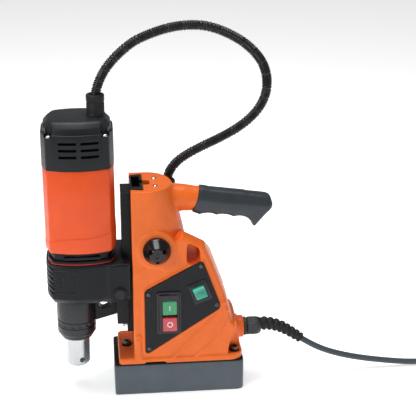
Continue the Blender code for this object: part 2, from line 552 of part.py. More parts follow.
def build_slide():
    plan = [(SLIDE_FRONT, -SLIDE_HALF_FRONT), (SLIDE_STEP, -SLIDE_HALF_FRONT), (SLIDE_STEP, -DOVE_NARROW),
            (SLIDE_BACK, -DOVE_WIDE), (SLIDE_BACK, DOVE_WIDE), (SLIDE_STEP, DOVE_NARROW),
            (SLIDE_STEP, SLIDE_HALF_FRONT), (SLIDE_FRONT, SLIDE_HALF_FRONT)]
    slide = make("slide", prism(plan, SLIDE_LOW, SLIDE_TOP_BACK), "dark_steel")
    combine(slide, box(SLIDE_FRONT - 1, SLIDE_STEP - 0.5, -40, 40, SLIDE_TOP_FRONT, SLIDE_TOP_BACK + 1))
    combine(slide, prism([(SLIDE_FRONT - 1, 70), (SLIDE_STEP + 2, 70), (SLIDE_STEP + 2, 78), (SLIDE_FRONT - 1, 91)],
                         -40, 40, 'Y'))
    combine(slide, box(SLIDE_BACK - 3, SLIDE_BACK + 1, -RACK_HALF_Y - GAP, RACK_HALF_Y + GAP, 70, 290))
    rack_back, tip, root = SLIDE_BACK - 2.7, RACK_LINE_X + 0.95 * FEED_MODULE, RACK_LINE_X - 1.25 * FEED_MODULE
    pitch = pi * FEED_MODULE
    count = 42
    outline, start = [], PINION_Z - pitch * 25.5
    for k in range(count):
        z = start + k * pitch
        for x, share in ((root, -0.34), (tip, -0.115), (tip, 0.115), (root, 0.34)):
            outline.append((x, z + share * pitch))
    outline += [(rack_back, outline[-1][1]), (rack_back, outline[0][1])]
    make("feed_rack", prism(outline, -RACK_HALF_Y, RACK_HALF_Y, 'Y'), "steel")


def build_gearbox():
    rings = []
    for z, inset in ((BOX_LOW, 4.5), (BOX_LOW + 8, 0.0), (BOX_TOP - 2, 0.0), (BOX_TOP, 1.2)):
        half = MOTOR_HALF + 0.8 - inset
        rings.append([(x, y, z) for x, y in motor_section(half)])
    gearbox = make("gearbox_housing", loft(rings), "gear_black")
    join(gearbox, prism([(-110.0, -44.5), (-66.0, -41.2), (-61.8, -38.0), (-61.8, 38.0), (-66.0, 41.2),
                         (-110.0, 44.5)], 136.0, BOX_TOP - 1.0))
    join(gearbox, prism([(-79.0, -24.0), (-63.6, -24.0), (-63.6, 24.0), (-79.0, 24.0)], 94.0, 140.0))
    combine(gearbox, box(SLIDE_FRONT - GAP, -50, -SLIDE_HALF_FRONT - GAP, SLIDE_HALF_FRONT + GAP, 80, 200))
    combine(gearbox, prism(rounded(40.7, 36.8, 12, (-120.2, 0)), 139.5, BOX_TOP + 2))
    combine(gearbox, disc(12.9, BOX_LOW - 5, 141.0, (SPINDLE_X, 0, 0), steps=28))
    make("carriage_plug", disc(9.0, -45.2, -42.7 - GAP, (-75.5, 0, 145.0), 'Y', 24), "black")
    brace = [(-79.3, 101.0), (-79.3, 131.0), (-84.5, 131.0), (-86.5, 113.5), (-98.0, 108.5), (-103.5, 114.0),
             (-103.5, 131.0), (-106.9, 131.0), (-106.9, 93.0)]
    make("support_bracket", prism(brace, -7.0, 7.0, 'Y'), "gear_black")
    section = motor_section(MOTOR_HALF - 4.0)
    gasket = make("gearbox_gasket", prism(section, BOX_TOP + GAP, NECK_LOW - GAP), "gasket_red")
    neck = make("gearbox_neck", prism(motor_section(MOTOR_HALF - 2.5), NECK_LOW, NECK_TOP), "gear_black")
    for plate, radius in ((gasket, 36.0), (neck, 8.0)):
        combine(plate, disc(radius, 180, 210, (MOTOR_X, 0, 0), steps=36))


def build_quill():
    quill = turned([(16.9, QUILL_LOW), (20.0, QUILL_LOW), (23.6, 78.0), (QUILL_R, 82.0),
                    (QUILL_R, BOX_LOW - GAP), (16.9, BOX_LOW - GAP)], (SPINDLE_X, 0, 0), steps=36)
    make("quill", quill, "gear_black")
    arbor = make("spindle_arbor", arbor_mesh(), "steel", origin=(SPINDLE_X, 0, 0))
    for k, a in enumerate((radians(-70), radians(110))):
        spin = Matrix.Rotation(a, 3, 'Z')
        for target, radius, low, high in ((arbor, 3.3, 8.0, 18.0), (None, 2.9, 10.0, 15.4)):
            pin = disc(radius, low, high, (0, 0, 0), 'X', 14)
            for vert in pin.verts:
                vert.co = spin @ vert.co + Vector((SPINDLE_X, 0, 39.5))
            if target:
                combine(target, pin)
            else:
                make("arbor_set_screw_%d" % (k + 1), pin, "dark_steel", origin=(SPINDLE_X, 0, 0))
    gear = gear_on((SPINDLE_X, 0), 1.5, 34, 142.6, 151.0, 0.0)
    gear = make("spindle_gear", gear, "dark_steel", origin=(SPINDLE_X, 0, 0))
    combine(gear, disc(12.8, 130, 160, (SPINDLE_X, 0, 0), steps=28))


def arbor_mesh():
    profile = [(0, ARBOR_BORE_TOP + 4), (ARBOR_BORE_R, ARBOR_BORE_TOP), (ARBOR_BORE_R, ARBOR_LOW),
               (13.6, ARBOR_LOW), (ARBOR_R, ARBOR_LOW + 3.2), (ARBOR_R, 126.0), (12.5, 127.0), (12.5, 156.4), (0, 156.4)]
    return turned(profile, (SPINDLE_X, 0, 0), steps=36)


def gear_on(axis, module, teeth, low, high, phase, **shape):
    outline = gear_outline(module, teeth, phase, **shape)
    return prism([(axis[0] + x, axis[1] + y) for x, y in outline], low, high)


def build_drive():
    """Armature, idler and the gears between them, teeth set half a tooth apart where they meet."""
    to_idler = atan2(IDLER_Y, IDLER_X - MOTOR_X)
    idler_to_spindle = atan2(-IDLER_Y, SPINDLE_X - IDLER_X)
    pinion_phase = to_idler
    big_phase = to_idler + pi + pi / 40
    small_phase = idler_to_spindle + mesh_offset(idler_to_spindle + pi, 34) * 34 / 10 + pi / 10
    shaft = [(0, 158.0), (3.2, 158.0), (3.2, 186.0), (6.0, 188.0), (6.0, 216.0), (26.0, 217.0), (26.0, 278.0),
             (12.0, 279.0), (12.0, 304.0), (6.0, 305.0), (6.0, 330.0), (0, 330.0)]
    armature = make("armature", turned(shaft, (MOTOR_X, 0, 0), steps=32), "copper", origin=(MOTOR_X, 0, 0))
    join(armature, gear_on((MOTOR_X, 0), 1.0, 8, 157.0, 170.0, pinion_phase, tip=(0.75, 0.06), foot=(1.25, 0.22)))
    make("motor_fan", turned([(6.4, 204.0), (34.0, 204.0), (34.0, 206.0), (12.0, 212.0), (6.4, 212.0)],
                             (MOTOR_X, 0, 0), steps=32), "black", origin=(MOTOR_X, 0, 0))
    idler = make("idler_gears", gear_on((IDLER_X, IDLER_Y), 1.0, 40, 158.0, 166.0, big_phase, tip=(0.75, 0.08)), "dark_steel",
                 origin=(IDLER_X, IDLER_Y, 0))
    join(idler, gear_on((IDLER_X, IDLER_Y), 1.5, 10, 142.6, 159.0, small_phase))
    join(idler, disc(4.0, 139.9, 184.0, (IDLER_X, IDLER_Y, 0), steps=16))


def mesh_offset(angle, teeth):
    """How far the nearest tooth of a gear at phase zero stands from this direction."""
    pitch = 2 * pi / teeth
    return (angle / pitch - round(angle / pitch)) * pitch


def build_motor():
    housing = make("motor_housing", prism(motor_section(MOTOR_HALF), NECK_TOP + GAP, HOUSING_TOP - GAP), "red_orange")
    combine(housing, prism(motor_section(MOTOR_HALF - 4.0), 190, 330))
    levels = ((HOUSING_TOP, 0.3), (HOUSING_TOP + 45, 0.5), (HOUSING_TOP + 45.6, 2.4), (CAP_TOP - 8.5, 3.0),
              (CAP_TOP - 4.0, 4.2), (CAP_TOP - 1.2, 7.2), (CAP_TOP, 11.5))
    cap = make("motor_end_cap", loft([[(x, y, z) for x, y in motor_section(MOTOR_HALF - i)]
                                      for z, i in levels]), "black")
    combine(cap, prism(motor_section(MOTOR_HALF - 7.0), HOUSING_TOP - 1, CAP_TOP - 10.0))
    for side in (-1, 1):
        for centre, half in ((MOTOR_X - 11.8, 11.2), (MOTOR_X + 15.4, 11.2)):
            for z in (327.4, 335.9, 344.4):
                low, high = sorted((side * 34.0, side * 50.0))
                combine(cap, box(centre - half, centre + half, low, high, z, z + 3.4))
        for lean in (-1, 1):
            x, y = MOTOR_X + lean * 34.2, side * 34.2
            combine(cap, disc(5.2, HOUSING_TOP + 41.5, CAP_TOP + 2, (x, y, 0), steps=18))
            combine(cap, disc(2.1, HOUSING_TOP - 1, HOUSING_TOP + 44, (x, y, 0), steps=10))
    for k, (sx, sy) in enumerate(((-1, -1), (1, -1), (-1, 1), (1, 1))):
        x, y = MOTOR_X + sx * 34.2, sy * 34.2
        screw = turned([(0, HOUSING_TOP + 20), (1.7, HOUSING_TOP + 20), (1.7, HOUSING_TOP + 41.8),
                        (3.8, HOUSING_TOP + 41.8), (3.8, HOUSING_TOP + 45), (0, HOUSING_TOP + 45)], (x, y, 0), steps=16)
        make("cap_screw_%d" % (k + 1), screw, "steel")
    combine(cap, disc(7.2, CAP_TOP - 14, CAP_TOP + 2, (BOOT_X, 0, 0), steps=20))
    boot = turned([(HOSE_R + GAP, CAP_TOP + GAP), (11.2, CAP_TOP + GAP), (11.4, BOOT_TOP - 2), (10.6, BOOT_TOP),
                   (HOSE_R + 1.8, BOOT_TOP), (HOSE_R + GAP, BOOT_TOP - 4)], (BOOT_X, 0, 0), steps=24)
    make("cable_boot", boot, "rubber")
    centre = (MOTOR_X, 0, 0)
    make("stator", ring(27.0, 39.5, 218.0, 277.0, centre, steps=36), "dark_steel")
    for side, name in ((-1, "brush_near"), (1, "brush_far")):
        low, high = sorted((side * 12.6, side * 36.0))
        make(name, box(MOTOR_X - 4, MOTOR_X + 4, low, high, 286.0, 297.0), "brass")


def build_feed():
    origin = (PINION_X, -BODY_HALF_Y - 1.5, PINION_Z)
    face = -BODY_HALF_Y - 1.5
    cone = turned([(0, face), (17.7, face), (17.7, face - 4.5), (9.6, face - 18.0), (8.6, face - 18.8),
                   (0, face - 18.8)], (PINION_X, 0, PINION_Z), 'Y', 36)
    hub = make("feed_hub", cone, "black", origin=origin)
    for a in (30, 150, 270):
        a = radians(a)
        out = Vector((cos(a), -0.62, sin(a))).normalized()
        start = Vector((PINION_X, face - 10.5, PINION_Z)) + out * 9.2
        combine(hub, sweep([start, start + out * 14], 3.6, 14))
    combine(hub, disc(6.3, face - 13, face + 2, (PINION_X, 0, PINION_Z), 'Y', 20))
    shaft = make("feed_shaft", disc(6.0, face - 12.6, BODY_HALF_Y + 0.6, (PINION_X, 0, PINION_Z), 'Y', 24), "steel",
                 origin=origin)
    teeth = [(PINION_X + x, PINION_Z + z) for x, z in gear_outline(FEED_MODULE, PINION_TEETH, pi)]
    join(shaft, prism(teeth, -7.5, 7.5, 'Y'))


reset_scene()
build_base()
build_frame()
build_frame_fittings()
build_panel()
build_gland_and_cord()
build_slide()
build_gearbox()
build_quill()
build_drive()
build_motor()
build_feed()
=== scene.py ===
from math import sin, cos, pi, radians, sqrt, atan2, degrees
import bpy
import bmesh
from mathutils import Vector, Matrix


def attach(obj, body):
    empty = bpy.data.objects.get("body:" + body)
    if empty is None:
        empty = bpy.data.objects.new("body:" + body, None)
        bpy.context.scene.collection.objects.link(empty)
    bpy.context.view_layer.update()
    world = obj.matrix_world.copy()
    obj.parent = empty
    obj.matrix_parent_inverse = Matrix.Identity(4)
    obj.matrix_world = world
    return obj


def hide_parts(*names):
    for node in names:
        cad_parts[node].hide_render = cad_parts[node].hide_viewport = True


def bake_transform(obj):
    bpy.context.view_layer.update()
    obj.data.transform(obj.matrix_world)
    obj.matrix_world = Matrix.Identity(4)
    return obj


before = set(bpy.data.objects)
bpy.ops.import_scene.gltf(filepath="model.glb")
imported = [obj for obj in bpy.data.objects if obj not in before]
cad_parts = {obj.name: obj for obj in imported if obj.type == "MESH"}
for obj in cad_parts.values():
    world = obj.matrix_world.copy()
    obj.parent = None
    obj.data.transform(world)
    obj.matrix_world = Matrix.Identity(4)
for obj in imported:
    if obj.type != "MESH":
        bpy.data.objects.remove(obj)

# Magnetic drill press. The frame is that of the CAD model: origin under the middle of the magnet,
# +Z up, handle towards +X, switches on the -Y side.
MM = 0.001
link_object = bpy.context.scene.collection.objects.link
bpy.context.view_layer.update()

MOTOR_X, SPINDLE_X = -122.5, -132.5
MOTOR_HALF, CROWN_HALF, CROWN_R, FLAT_HALF = 45, 39, 93.7, 19
PINION_X, PINION_Z = -27.7, 202.5
SWITCH_X, SWITCH_Z = -13.2, 116.5
ROCKER_X, ROCKER_Z, ROCKER_TILT = 26.7, 144, radians(21)
PANEL_FACE = -44.2
GLAND_Z = 71.5
WINDOW_X, WINDOW_Z, WINDOW_HALF_X, WINDOW_HALF_Z = -12.6, 113.7, 9.9, 21.4
PLATE_BACK, IN_FRONT = -41.6, -60
CASE_HALF = 45.8
CAP_SCREW = 34.2
BOOT_X = -98.5
HOSE_BOSS = (-8, 40, 0)
GRIP_LEAN = 0.33
EDGE_SEGMENTS, EDGE_ANGLE = 3, 30
CORD_R, HOSE_R = 4, 6.4
CORD_ROUTE = [(112, 0, 74.2), (122, 0, 73.6), (132, 0, 71.2), (141.5, 0, 67.2), (150.5, 0, 61.8),
    (159, 0, 56), (167, 0, 50.2), (180, 0, 41.6), (195, 0, 33.2), (209, 0, 27.3), (223, 0, 22.6),
    (237, 0, 18.8), (251, 0, 15.6), (265, 0, 12.9), (279, 0, 10.6), (292, 0, 8.6), (305, 0, 6.9),
    (318, 0, 5.6), (332, 0, 4.8), (346, 0, 4.4), (360, 0, 4.5), (372, 0, 4.8), (384.5, 0, 5.1)]
COIL_X, COIL_Y = 417, 56
PLUG_X, PLUG_Y, PLUG_Z = 417, 104, 41.4
HOSE_ROUTE = [(BOOT_X, 0, 382), (BOOT_X, 0, 392), (-96.5, 0.3, 402), (-92.8, 0.6, 412.5), (-86.1, 1.4, 425),
    (-76.4, 2.3, 437.3), (-63.6, 3.4, 449.4), (-47.8, 4.6, 460.7), (-27.3, 5.7, 469.4), (-5.3, 7, 475.6),
    (16, 8.3, 478), (35.5, 9.7, 477), (52.5, 11, 472.6), (70.5, 12.6, 464.6), (87.5, 14.1, 454),
    (101.3, 15.6, 441.4), (111.4, 17.2, 427.6), (117, 18.8, 412.4), (118.5, 20.5, 397.8),
    (116.4, 22.1, 382.8), (109.2, 23.9, 367), (97.4, 25.5, 352.8), (81.3, 27.4, 339.7), (60.2, 29.1, 327.4),
    (37.4, 31, 316), (20, 32.8, 306.4), (7, 35, 296.8), (-1.4, 37.4, 287), (-6.4, 39.3, 277), (-8, 40, 268),
    (-8, 40, 258)]


# ---------------------------------------------------------------- camera, light and floor
def build_stage():
    """The camera fitted to the picture, three lamps, a world white to the camera only, and the floor."""
    azimuth, elevation, distance = radians(-5.83), radians(20.27), 1.4893
    target = Vector((0.0415, 0.0, 0.2418))
    back = Vector((sin(azimuth) * cos(elevation), -cos(azimuth) * cos(elevation), sin(elevation)))
    camera = bpy.data.objects.new("camera", bpy.data.cameras.new("camera"))
    camera.data.lens = 100.0
    camera.data.sensor_width = 36.0
    camera.location = target + back * distance
    camera.rotation_euler = (-back).to_track_quat('-Z', 'Y').to_euler()
    link_object(camera)
    bpy.context.scene.camera = camera
    for name, place, size, power in (("key", (-1.5, -1.2, 1.3), 0.7, 14.5),
            ("fill", (1.2, -1.7, 0.9), 1.6, 2.5), ("top", (-0.2, 0.2, 2.0), 1.2, 33.0)):
        lamp = bpy.data.lights.new(name, 'AREA')
        lamp.size = size
        lamp.energy = power
        obj = bpy.data.objects.new(name, lamp)
        obj.location = place
        obj.rotation_euler = (Vector((0.0, 0.0, 0.2)) - Vector(place)).to_track_quat('-Z', 'Y').to_euler()
        link_object(obj)
    world = bpy.data.worlds.new("studio")
    world.use_nodes = True
    shade = world.node_tree.nodes["Background"]
    shade.inputs["Color"].default_value = (1.0, 1.0, 1.0, 1.0)
    rays = world.node_tree.nodes.new("ShaderNodeLightPath")
    seen = world.node_tree.nodes.new("ShaderNodeMapRange")
    seen.inputs["To Min"].default_value = 0.22
    seen.inputs["To Max"].default_value = 1.0
    world.node_tree.links.new(rays.outputs["Is Camera Ray"], seen.inputs["Value"])
    world.node_tree.links.new(seen.outputs["Result"], shade.inputs["Strength"])
    bpy.context.scene.world = world
    bpy.context.scene.view_settings.view_transform = 'Standard'
    bm = bmesh.new()
    bmesh.ops.create_grid(bm, x_segments=1, y_segments=1, size=6.0)
    mesh = bpy.data.meshes.new("floor")
    bm.to_mesh(mesh)
    bm.free()
    floor = bpy.data.objects.new("floor", mesh)
    floor.location.z = -0.0004
    paper = surface("floor_paper", (0.93, 0.93, 0.93), 0.85, tint=0.0, grain=(4.0, 0.0))
    glow = paper.node_tree.nodes["Principled BSDF"]
    glow.inputs["Emission Color"].default_value = (1.0, 1.0, 1.0, 1.0)
    glow.inputs["Emission Strength"].default_value = 0.52
    mesh.materials.append(paper)
    link_object(floor)


# ---------------------------------------------------------------- materials
def surface(name, colour, rough, metallic=0.0, spread=0.06, patch=45.0, tint=0.08, grain=(1600.0, 4e-5),
        stretch=(1.0, 1.0, 1.0), edge_highlight=None, coat=0.0, speck=0.0, shine=0.5):
    """A finish with patchy colour, uneven roughness and a fine bump, from the object's own coordinates; a
    lighter colour given for convex edges is a painted highlight.
    """
    mat = bpy.data.materials.new(name)
    mat.use_nodes = True
    nodes, links = mat.node_tree.nodes, mat.node_tree.links
    shader = nodes["Principled BSDF"]
    shader.inputs["Metallic"].default_value = metallic
    shader.inputs["Specular IOR Level"].default_value = shine
    shader.inputs["Coat Weight"].default_value = coat
    shader.inputs["Coat Roughness"].default_value = 0.12
    place = nodes.new("ShaderNodeTexCoord")
    scaled = nodes.new("ShaderNodeMapping")
    scaled.inputs["Scale"].default_value = stretch
    links.new(place.outputs["Object"], scaled.inputs["Vector"])

    def noise(scale, detail):
        node = nodes.new("ShaderNodeTexNoise")
        node.inputs["Scale"].default_value = scale
        node.inputs["Detail"].default_value = detail
        links.new(scaled.outputs["Vector"], node.inputs["Vector"])
        return node.outputs["Fac"]

    def spread_over(source, low, high, start=0.3, end=0.7):
        node = nodes.new("ShaderNodeMapRange")
        for key, value in (("From Min", start), ("From Max", end), ("To Min", low), ("To Max", high)):
            node.inputs[key].default_value = value
        links.new(source, node.inputs["Value"])
        return node.outputs["Result"]

    def mixed(amount, one, two):
        node = nodes.new("ShaderNodeMix")
        node.data_type = 'RGBA'
        links.new(amount, node.inputs["Factor"])
        for socket, value in ((node.inputs["A"], one), (node.inputs["B"], two)):
            if isinstance(value, tuple):
                socket.default_value = (*value, 1.0)
            else:
                links.new(value, socket)
        return node.outputs["Result"]

    patches = noise(patch, 4.0)
    dark = tuple(c * (1 - tint) for c in colour)
    light = tuple(min(1.0, c * (1 + tint)) for c in colour)
    tone = mixed(spread_over(patches, 0.0, 1.0), dark, light)
    if speck:
        flecks = spread_over(noise(2600.0, 2.0), 0.0, speck, 0.62, 0.72)
        tone = mixed(flecks, tone, tuple(min(1.0, c * 2.2 + 0.05) for c in colour))
    # painted highlight: a lighter colour mixed in on convex edges, where light catches them
    if edge_highlight:
        edge = nodes.new("ShaderNodeNewGeometry")
        tone = mixed(spread_over(edge.outputs["Pointiness"], 0.0, 0.6, 0.53, 0.60), tone, edge_highlight)
    links.new(tone, shader.inputs["Base Color"])
    links.new(spread_over(noise(patch * 5, 5.0), rough - spread, rough + spread),
        shader.inputs["Roughness"])
    bump = nodes.new("ShaderNodeBump")
    bump.inputs["Distance"].default_value = grain[1]
    bump.inputs["Strength"].default_value = 1.0
    links.new(noise(grain[0], 3.0), bump.inputs["Height"])
    links.new(bump.outputs["Normal"], shader.inputs["Normal"])
    return mat


def finishes():
    """All finishes by short name."""
    return {
        "orange": surface("orange_coat", (0.84, 0.150, 0.014), 0.38, grain=(900.0, 6e-5), tint=0.05,
            shine=0.35,
            # painted highlight: lighter orange on the frame's convex edges
            edge_highlight=(0.95, 0.27, 0.06), coat=0.05),
        "housing": surface("red_orange_shell", (0.80, 0.088, 0.014), 0.36, tint=0.04, shine=0.35,
            grain=(1500.0, 2e-5)),
        "cap": surface("black_shell", (0.014, 0.016, 0.019), 0.36, grain=(1800.0, 3e-5), shine=0.18),
        "case": surface("black_casting", (0.009, 0.010, 0.012), 0.33, grain=(700.0, 8e-5), tint=0.15,
            # painted highlight: lighter grey on the case's convex edges and ribs
            edge_highlight=(0.06, 0.063, 0.07), shine=0.18),
        "grip": surface("slate_grip", (0.026, 0.033, 0.041), 0.40, grain=(2200.0, 6e-5), tint=0.10,
            shine=0.5),
        "slate": surface("slate_paint", (0.088, 0.110, 0.128), 0.45, grain=(800.0, 5e-5), tint=0.07,
            shine=0.3),
        "black_steel": surface("black_oxide", (0.022, 0.025, 0.029), 0.30, metallic=0.3, spread=0.08,
            grain=(1800.0, 1e-5), tint=0.15, stretch=(1.0, 1.0, 6.0)),
        "dark_steel": surface("oiled_steel", (0.14, 0.14, 0.15), 0.34, metallic=1.0, spread=0.1,
            grain=(1500.0, 1e-5), tint=0.2),
        "slide_steel": surface("black_slide", (0.010, 0.0105, 0.012), 0.36, metallic=0.0, spread=0.08,
            grain=(900.0, 1e-5), tint=0.2, stretch=(4.0, 4.0, 0.15), shine=0.18),
        "steel": surface("bright_steel", (0.66, 0.67, 0.68), 0.24, metallic=1.0, spread=0.08,
            grain=(1400.0, 1e-5), tint=0.06),
        "ground_steel": surface("brushed_arbor", (0.60, 0.63, 0.645), 0.30, metallic=1.0, spread=0.08,
            patch=120.0,
            grain=(900.0, 0.000015), tint=0.12, stretch=(1.0, 1.0, 0.08)),
        "gloss": surface("gloss_black", (0.006, 0.006, 0.007), 0.20, spread=0.04, grain=(500.0, 1e-5),
            coat=0.12, shine=0.35),
        "panel": surface("panel_black", (0.012, 0.013, 0.016), 0.38, grain=(2600.0, 9e-5), speck=0.10,
            shine=0.18),
        "switch": surface("switch_black", (0.012, 0.012, 0.015), 0.22, grain=(1200.0, 1e-5), shine=0.4),
        "green": surface("green_button", (0.018, 0.30, 0.115), 0.25, grain=(1000.0, 1e-5), tint=0.05,
            coat=0.4),
        "red": surface("red_button", (0.56, 0.045, 0.065), 0.28, grain=(1000.0, 1e-5), tint=0.05, coat=0.4),
        "teal": surface("teal_rocker", (0.025, 0.34, 0.235), 0.22, grain=(700.0, 3e-5), tint=0.15,
            coat=0.5),
        "lens": surface("lit_lens", (0.03, 0.66, 0.42), 0.15, grain=(700.0, 1e-5), tint=0.05, coat=0.6),
        "white": surface("white_mark", (0.82, 0.84, 0.82), 0.4, grain=(1500.0, 1e-5)),
        "rubber": surface("black_rubber", (0.014, 0.014, 0.016), 0.55, grain=(1400.0, 6e-5), shine=0.3),
        "hose": surface("hose_polymer", (0.011, 0.011, 0.013), 0.30, grain=(1200.0, 2e-5), tint=0.2,
            shine=0.3),
        "cord": surface("cord_sheath", (0.060, 0.075, 0.092), 0.48, grain=(1500.0, 4e-5), shine=0.3),
        "gland": surface("gland_polymer", (0.040, 0.046, 0.053), 0.42, grain=(1500.0, 3e-5), shine=0.3),
        "gasket": surface("red_gasket", (0.50, 0.035, 0.02), 0.6, grain=(1500.0, 6e-5)),
        "sheet": surface("black_sheet", (0.012, 0.012, 0.013), 0.6, grain=(1800.0, 6e-5), shine=0.3),
        "bronze": surface("bronze", (0.60, 0.40, 0.16), 0.3, metallic=1.0, grain=(1400.0, 2e-5), tint=0.15),
        "copper": surface("enamelled_copper", (0.62, 0.22, 0.09), 0.32, metallic=1.0, grain=(900.0, 0.0001),
            stretch=(1.0, 1.0, 8.0)),
        "resin": surface("potting_resin", (0.03, 0.03, 0.032), 0.35, grain=(300.0, 0.0001), tint=0.2),
        "board": surface("circuit_board", (0.02, 0.13, 0.05), 0.4, grain=(900.0, 4e-5)),
    }


# ---------------------------------------------------------------- mesh tools
def loft(rings, closed=False):
    """A skin through rings of equal count, with flat ends; closed joins the last ring to the first."""
    bm = bmesh.new()
    rows = [[bm.verts.new(p) for p in ring] for ring in rings]
    count = len(rows[0])
    pairs = list(zip(rows, rows[1:])) + ([(rows[-1], rows[0])] if closed else [])
    for low, high in pairs:
        for i in range(count):
            j = (i + 1) % count
            bm.faces.new((low[i], low[j], high[j], high[i]))
    if not closed:
        bm.faces.new(rows[0][::-1])
        bm.faces.new(rows[-1])
    return bm


def stacked(plan, levels):
    """A loft of plans one above the other: levels are (height, what the plan takes)."""
    return loft([[(x, y, z) for x, y in plan(i)] for z, i in levels])


def prism(outline, low, high, axis='Z'):
    """An outline pulled along an axis."""
    place = {'X': lambda u, v, w: (w, u, v), 'Y': lambda u, v, w: (u, w, v), 'Z': lambda u, v,
        w: (u, v, w)}[axis]
    return loft([[place(u, v, w) for u, v in outline] for w in (low, high)])


def box(x0, x1, y0, y1, z0, z1):
    return prism([(x0, y0), (x1, y0), (x1, y1), (x0, y1)], z0, z1)


def turned(profile, centre, axis='Z', steps=72, ripple=None):
    """Revolve (radius, height) points; ripple(angle, radius, height) gives a point's own radius."""
    bm = bmesh.new()
    spots = []
    for radius, height in profile:
        ring = []
        for k in range(1 if radius == 0 else steps):
            a = 2 * pi * (k + 0.5) / steps
            r = ripple(a, radius, height) if ripple and radius else radius
            u, v = r * cos(a), r * sin(a)
            offset = {'Z': (u, v, height), 'Y': (u, height, v), 'X': (height, u, v)}[axis]
            ring.append(bm.verts.new(Vector(centre) + Vector(offset)))
        spots.append(ring)
    pairs = list(zip(spots, spots[1:]))
    if profile[0][0] and profile[-1][0]:
        pairs.append((spots[-1], spots[0]))
    for one, two in pairs:
        for k in range(steps):
            j = (k + 1) % steps
            quad = []
            for vert in (one[k % len(one)], one[j % len(one)], two[j % len(two)], two[k % len(two)]):
                if vert not in quad:
                    quad.append(vert)
            if len(quad) > 2:
                bm.faces.new(quad)
    return bm


def disc(radius, low, high, centre, axis='Z', steps=40, edge=0):
    """A cylinder, with bevelled rims where an edge is given."""
    profile = [(0, low), (radius, low), (radius, high), (0, high)]
    if edge:
        inner = radius - edge
        profile = [(0, low), (inner, low), (radius, low + edge), (radius, high - edge), (inner, high),
            (0, high)]
    return turned(profile, centre, axis, steps)


def rounded(half_x, half_y, radius, centre=(0, 0), steps=6):
    """A rectangle with round corners."""
    points = []
    for cx, cy, start in ((1, 1, 0), (-1, 1, 90), (-1, -1, 180), (1, -1, 270)):
        for k in range(steps + 1):
            a = radians(start + 90 * k / steps)
            points.append((centre[0] + cx * (half_x - radius) + radius * cos(a),
                centre[1] + cy * (half_y - radius) + radius * sin(a)))
    return points


def filleted(corners, radius, steps=5):
    """A polygon with each corner rounded."""
    points = []
    spots = [Vector(c) for c in corners]
    for k, spot in enumerate(spots):
        before, after = (spots[k - 1] - spot), (spots[(k + 1) % len(spots)] - spot)
        size = min(radius, before.length * 0.45, after.length * 0.45)
        one, two = spot + before.normalized() * size, spot + after.normalized() * size
        for j in range(steps + 1):
            t = j / steps
            points.append(tuple((1 - t) ** 2 * one + 2 * t * (1 - t) * spot + t * t * two))
    return points


def grown(outline, amount):
    """An outline, wound either way, moved outwards by an amount."""
    spots = [Vector(p) for p in outline]
    area = sum(a.x * b.y - b.x * a.y for a, b in zip(spots, spots[1:] + spots[:1]))
    turn = 1 if area > 0 else -1
    points = []
    for k, spot in enumerate(spots):
        along = spots[(k + 1) % len(spots)] - spots[k - 1]
        normal = Vector((along.y, -along.x)).normalized() * turn
        points.append(tuple(spot + normal * amount))
    return points


def smooth_route(route, step):
    """Points a step apart on the smooth curve through a route's own points."""
    spots = [Vector(p) for p in route]
    spots = [spots[0] * 2 - spots[1]] + spots + [spots[-1] * 2 - spots[-2]]
    fine = []
    for a, b, c, d in zip(spots, spots[1:], spots[2:], spots[3:]):
        pieces = max(2, int((c - b).length / 0.4))
        for k in range(pieces):
            t = k / pieces
            fine.append(0.5 * (2 * b + (c - a) * t + (2 * a - 5 * b + 4 * c - d) * t * t
                + (3 * b - 3 * c + d - a) * t ** 3))
    fine.append(spots[-2])
    points, gone = [fine[0]], 0
    for one, two in zip(fine, fine[1:]):
        gone += (two - one).length
        if gone >= step:
            points.append(two)
            gone = 0
    if (points[-1] - fine[-1]).length <= step / 2:
        points.pop()
    return points + [fine[-1]]


def tube(route, radius, steps=16):
    """A round tube along a route; radius may be a function of the ring's number."""
    spots = [Vector(p) for p in route]
    rows, side = [], Vector((0, 1, 0))
    for k, spot in enumerate(spots):
        ahead = (spots[min(k + 1, len(spots) - 1)] - spots[max(k - 1, 0)]).normalized()
        if abs(side.dot(ahead)) > 0.95:
            side = Vector((1, 0, 0))
        side = (side - ahead * side.dot(ahead)).normalized()
        up = ahead.cross(side)
        size = radius(k) if callable(radius) else radius
        turns = [2 * pi * j / steps for j in range(steps)]
        rows.append([spot + side * (size * cos(a)) + up * (size * sin(a)) for a in turns])
    return loft(rows)


def merged(*parts):
    """Several bodies in one mesh, each left whole."""
    whole = bmesh.new()
    for part in parts:
        mesh = bpy.data.meshes.new("part")
        part.to_mesh(mesh)
        part.free()
        whole.from_mesh(mesh)
        bpy.data.meshes.remove(mesh)
    return whole


def moved(bm, matrix):
    bmesh.ops.transform(bm, matrix=matrix, verts=bm.verts)
    return bm


def about(point, angle, axis):
    """A turn about an axis through a point."""
    return Matrix.Translation(point) @ Matrix.Rotation(angle, 4, axis) @ Matrix.Translation(-Vector(point))


def temporary(bm):
    """An object to hold a mesh while modifiers work on it."""
    bmesh.ops.recalc_face_normals(bm, faces=bm.faces)
    mesh = bpy.data.meshes.new("temporary")
    bm.to_mesh(mesh)
    bm.free()
    obj = bpy.data.objects.new("temporary", mesh)
    link_object(obj)
    return obj


def settled(obj, *others):
    """The mesh an object has after its modifiers; the objects are then removed."""
    graph = bpy.context.evaluated_depsgraph_get()
    mesh = bpy.data.meshes.new_from_object(obj.evaluated_get(graph))
    bm = bmesh.new()
    bm.from_mesh(mesh)
    bpy.data.meshes.remove(mesh)
    for each in (obj, *others):
        data = each.data
        bpy.data.objects.remove(each)
        bpy.data.meshes.remove(data)
    return bm


def carved(base, steps):
    """Join and cut bodies with Booleans: steps are ('UNION' or 'DIFFERENCE', body)."""
    target = temporary(base)
    tools = []
    for operation, body in steps:
        tool = temporary(body)
        mod = target.modifiers.new("step", 'BOOLEAN')
        mod.operation = operation
        mod.solver = 'EXACT'
        mod.object = tool
        tools.append(tool)
    return settled(target, *tools)


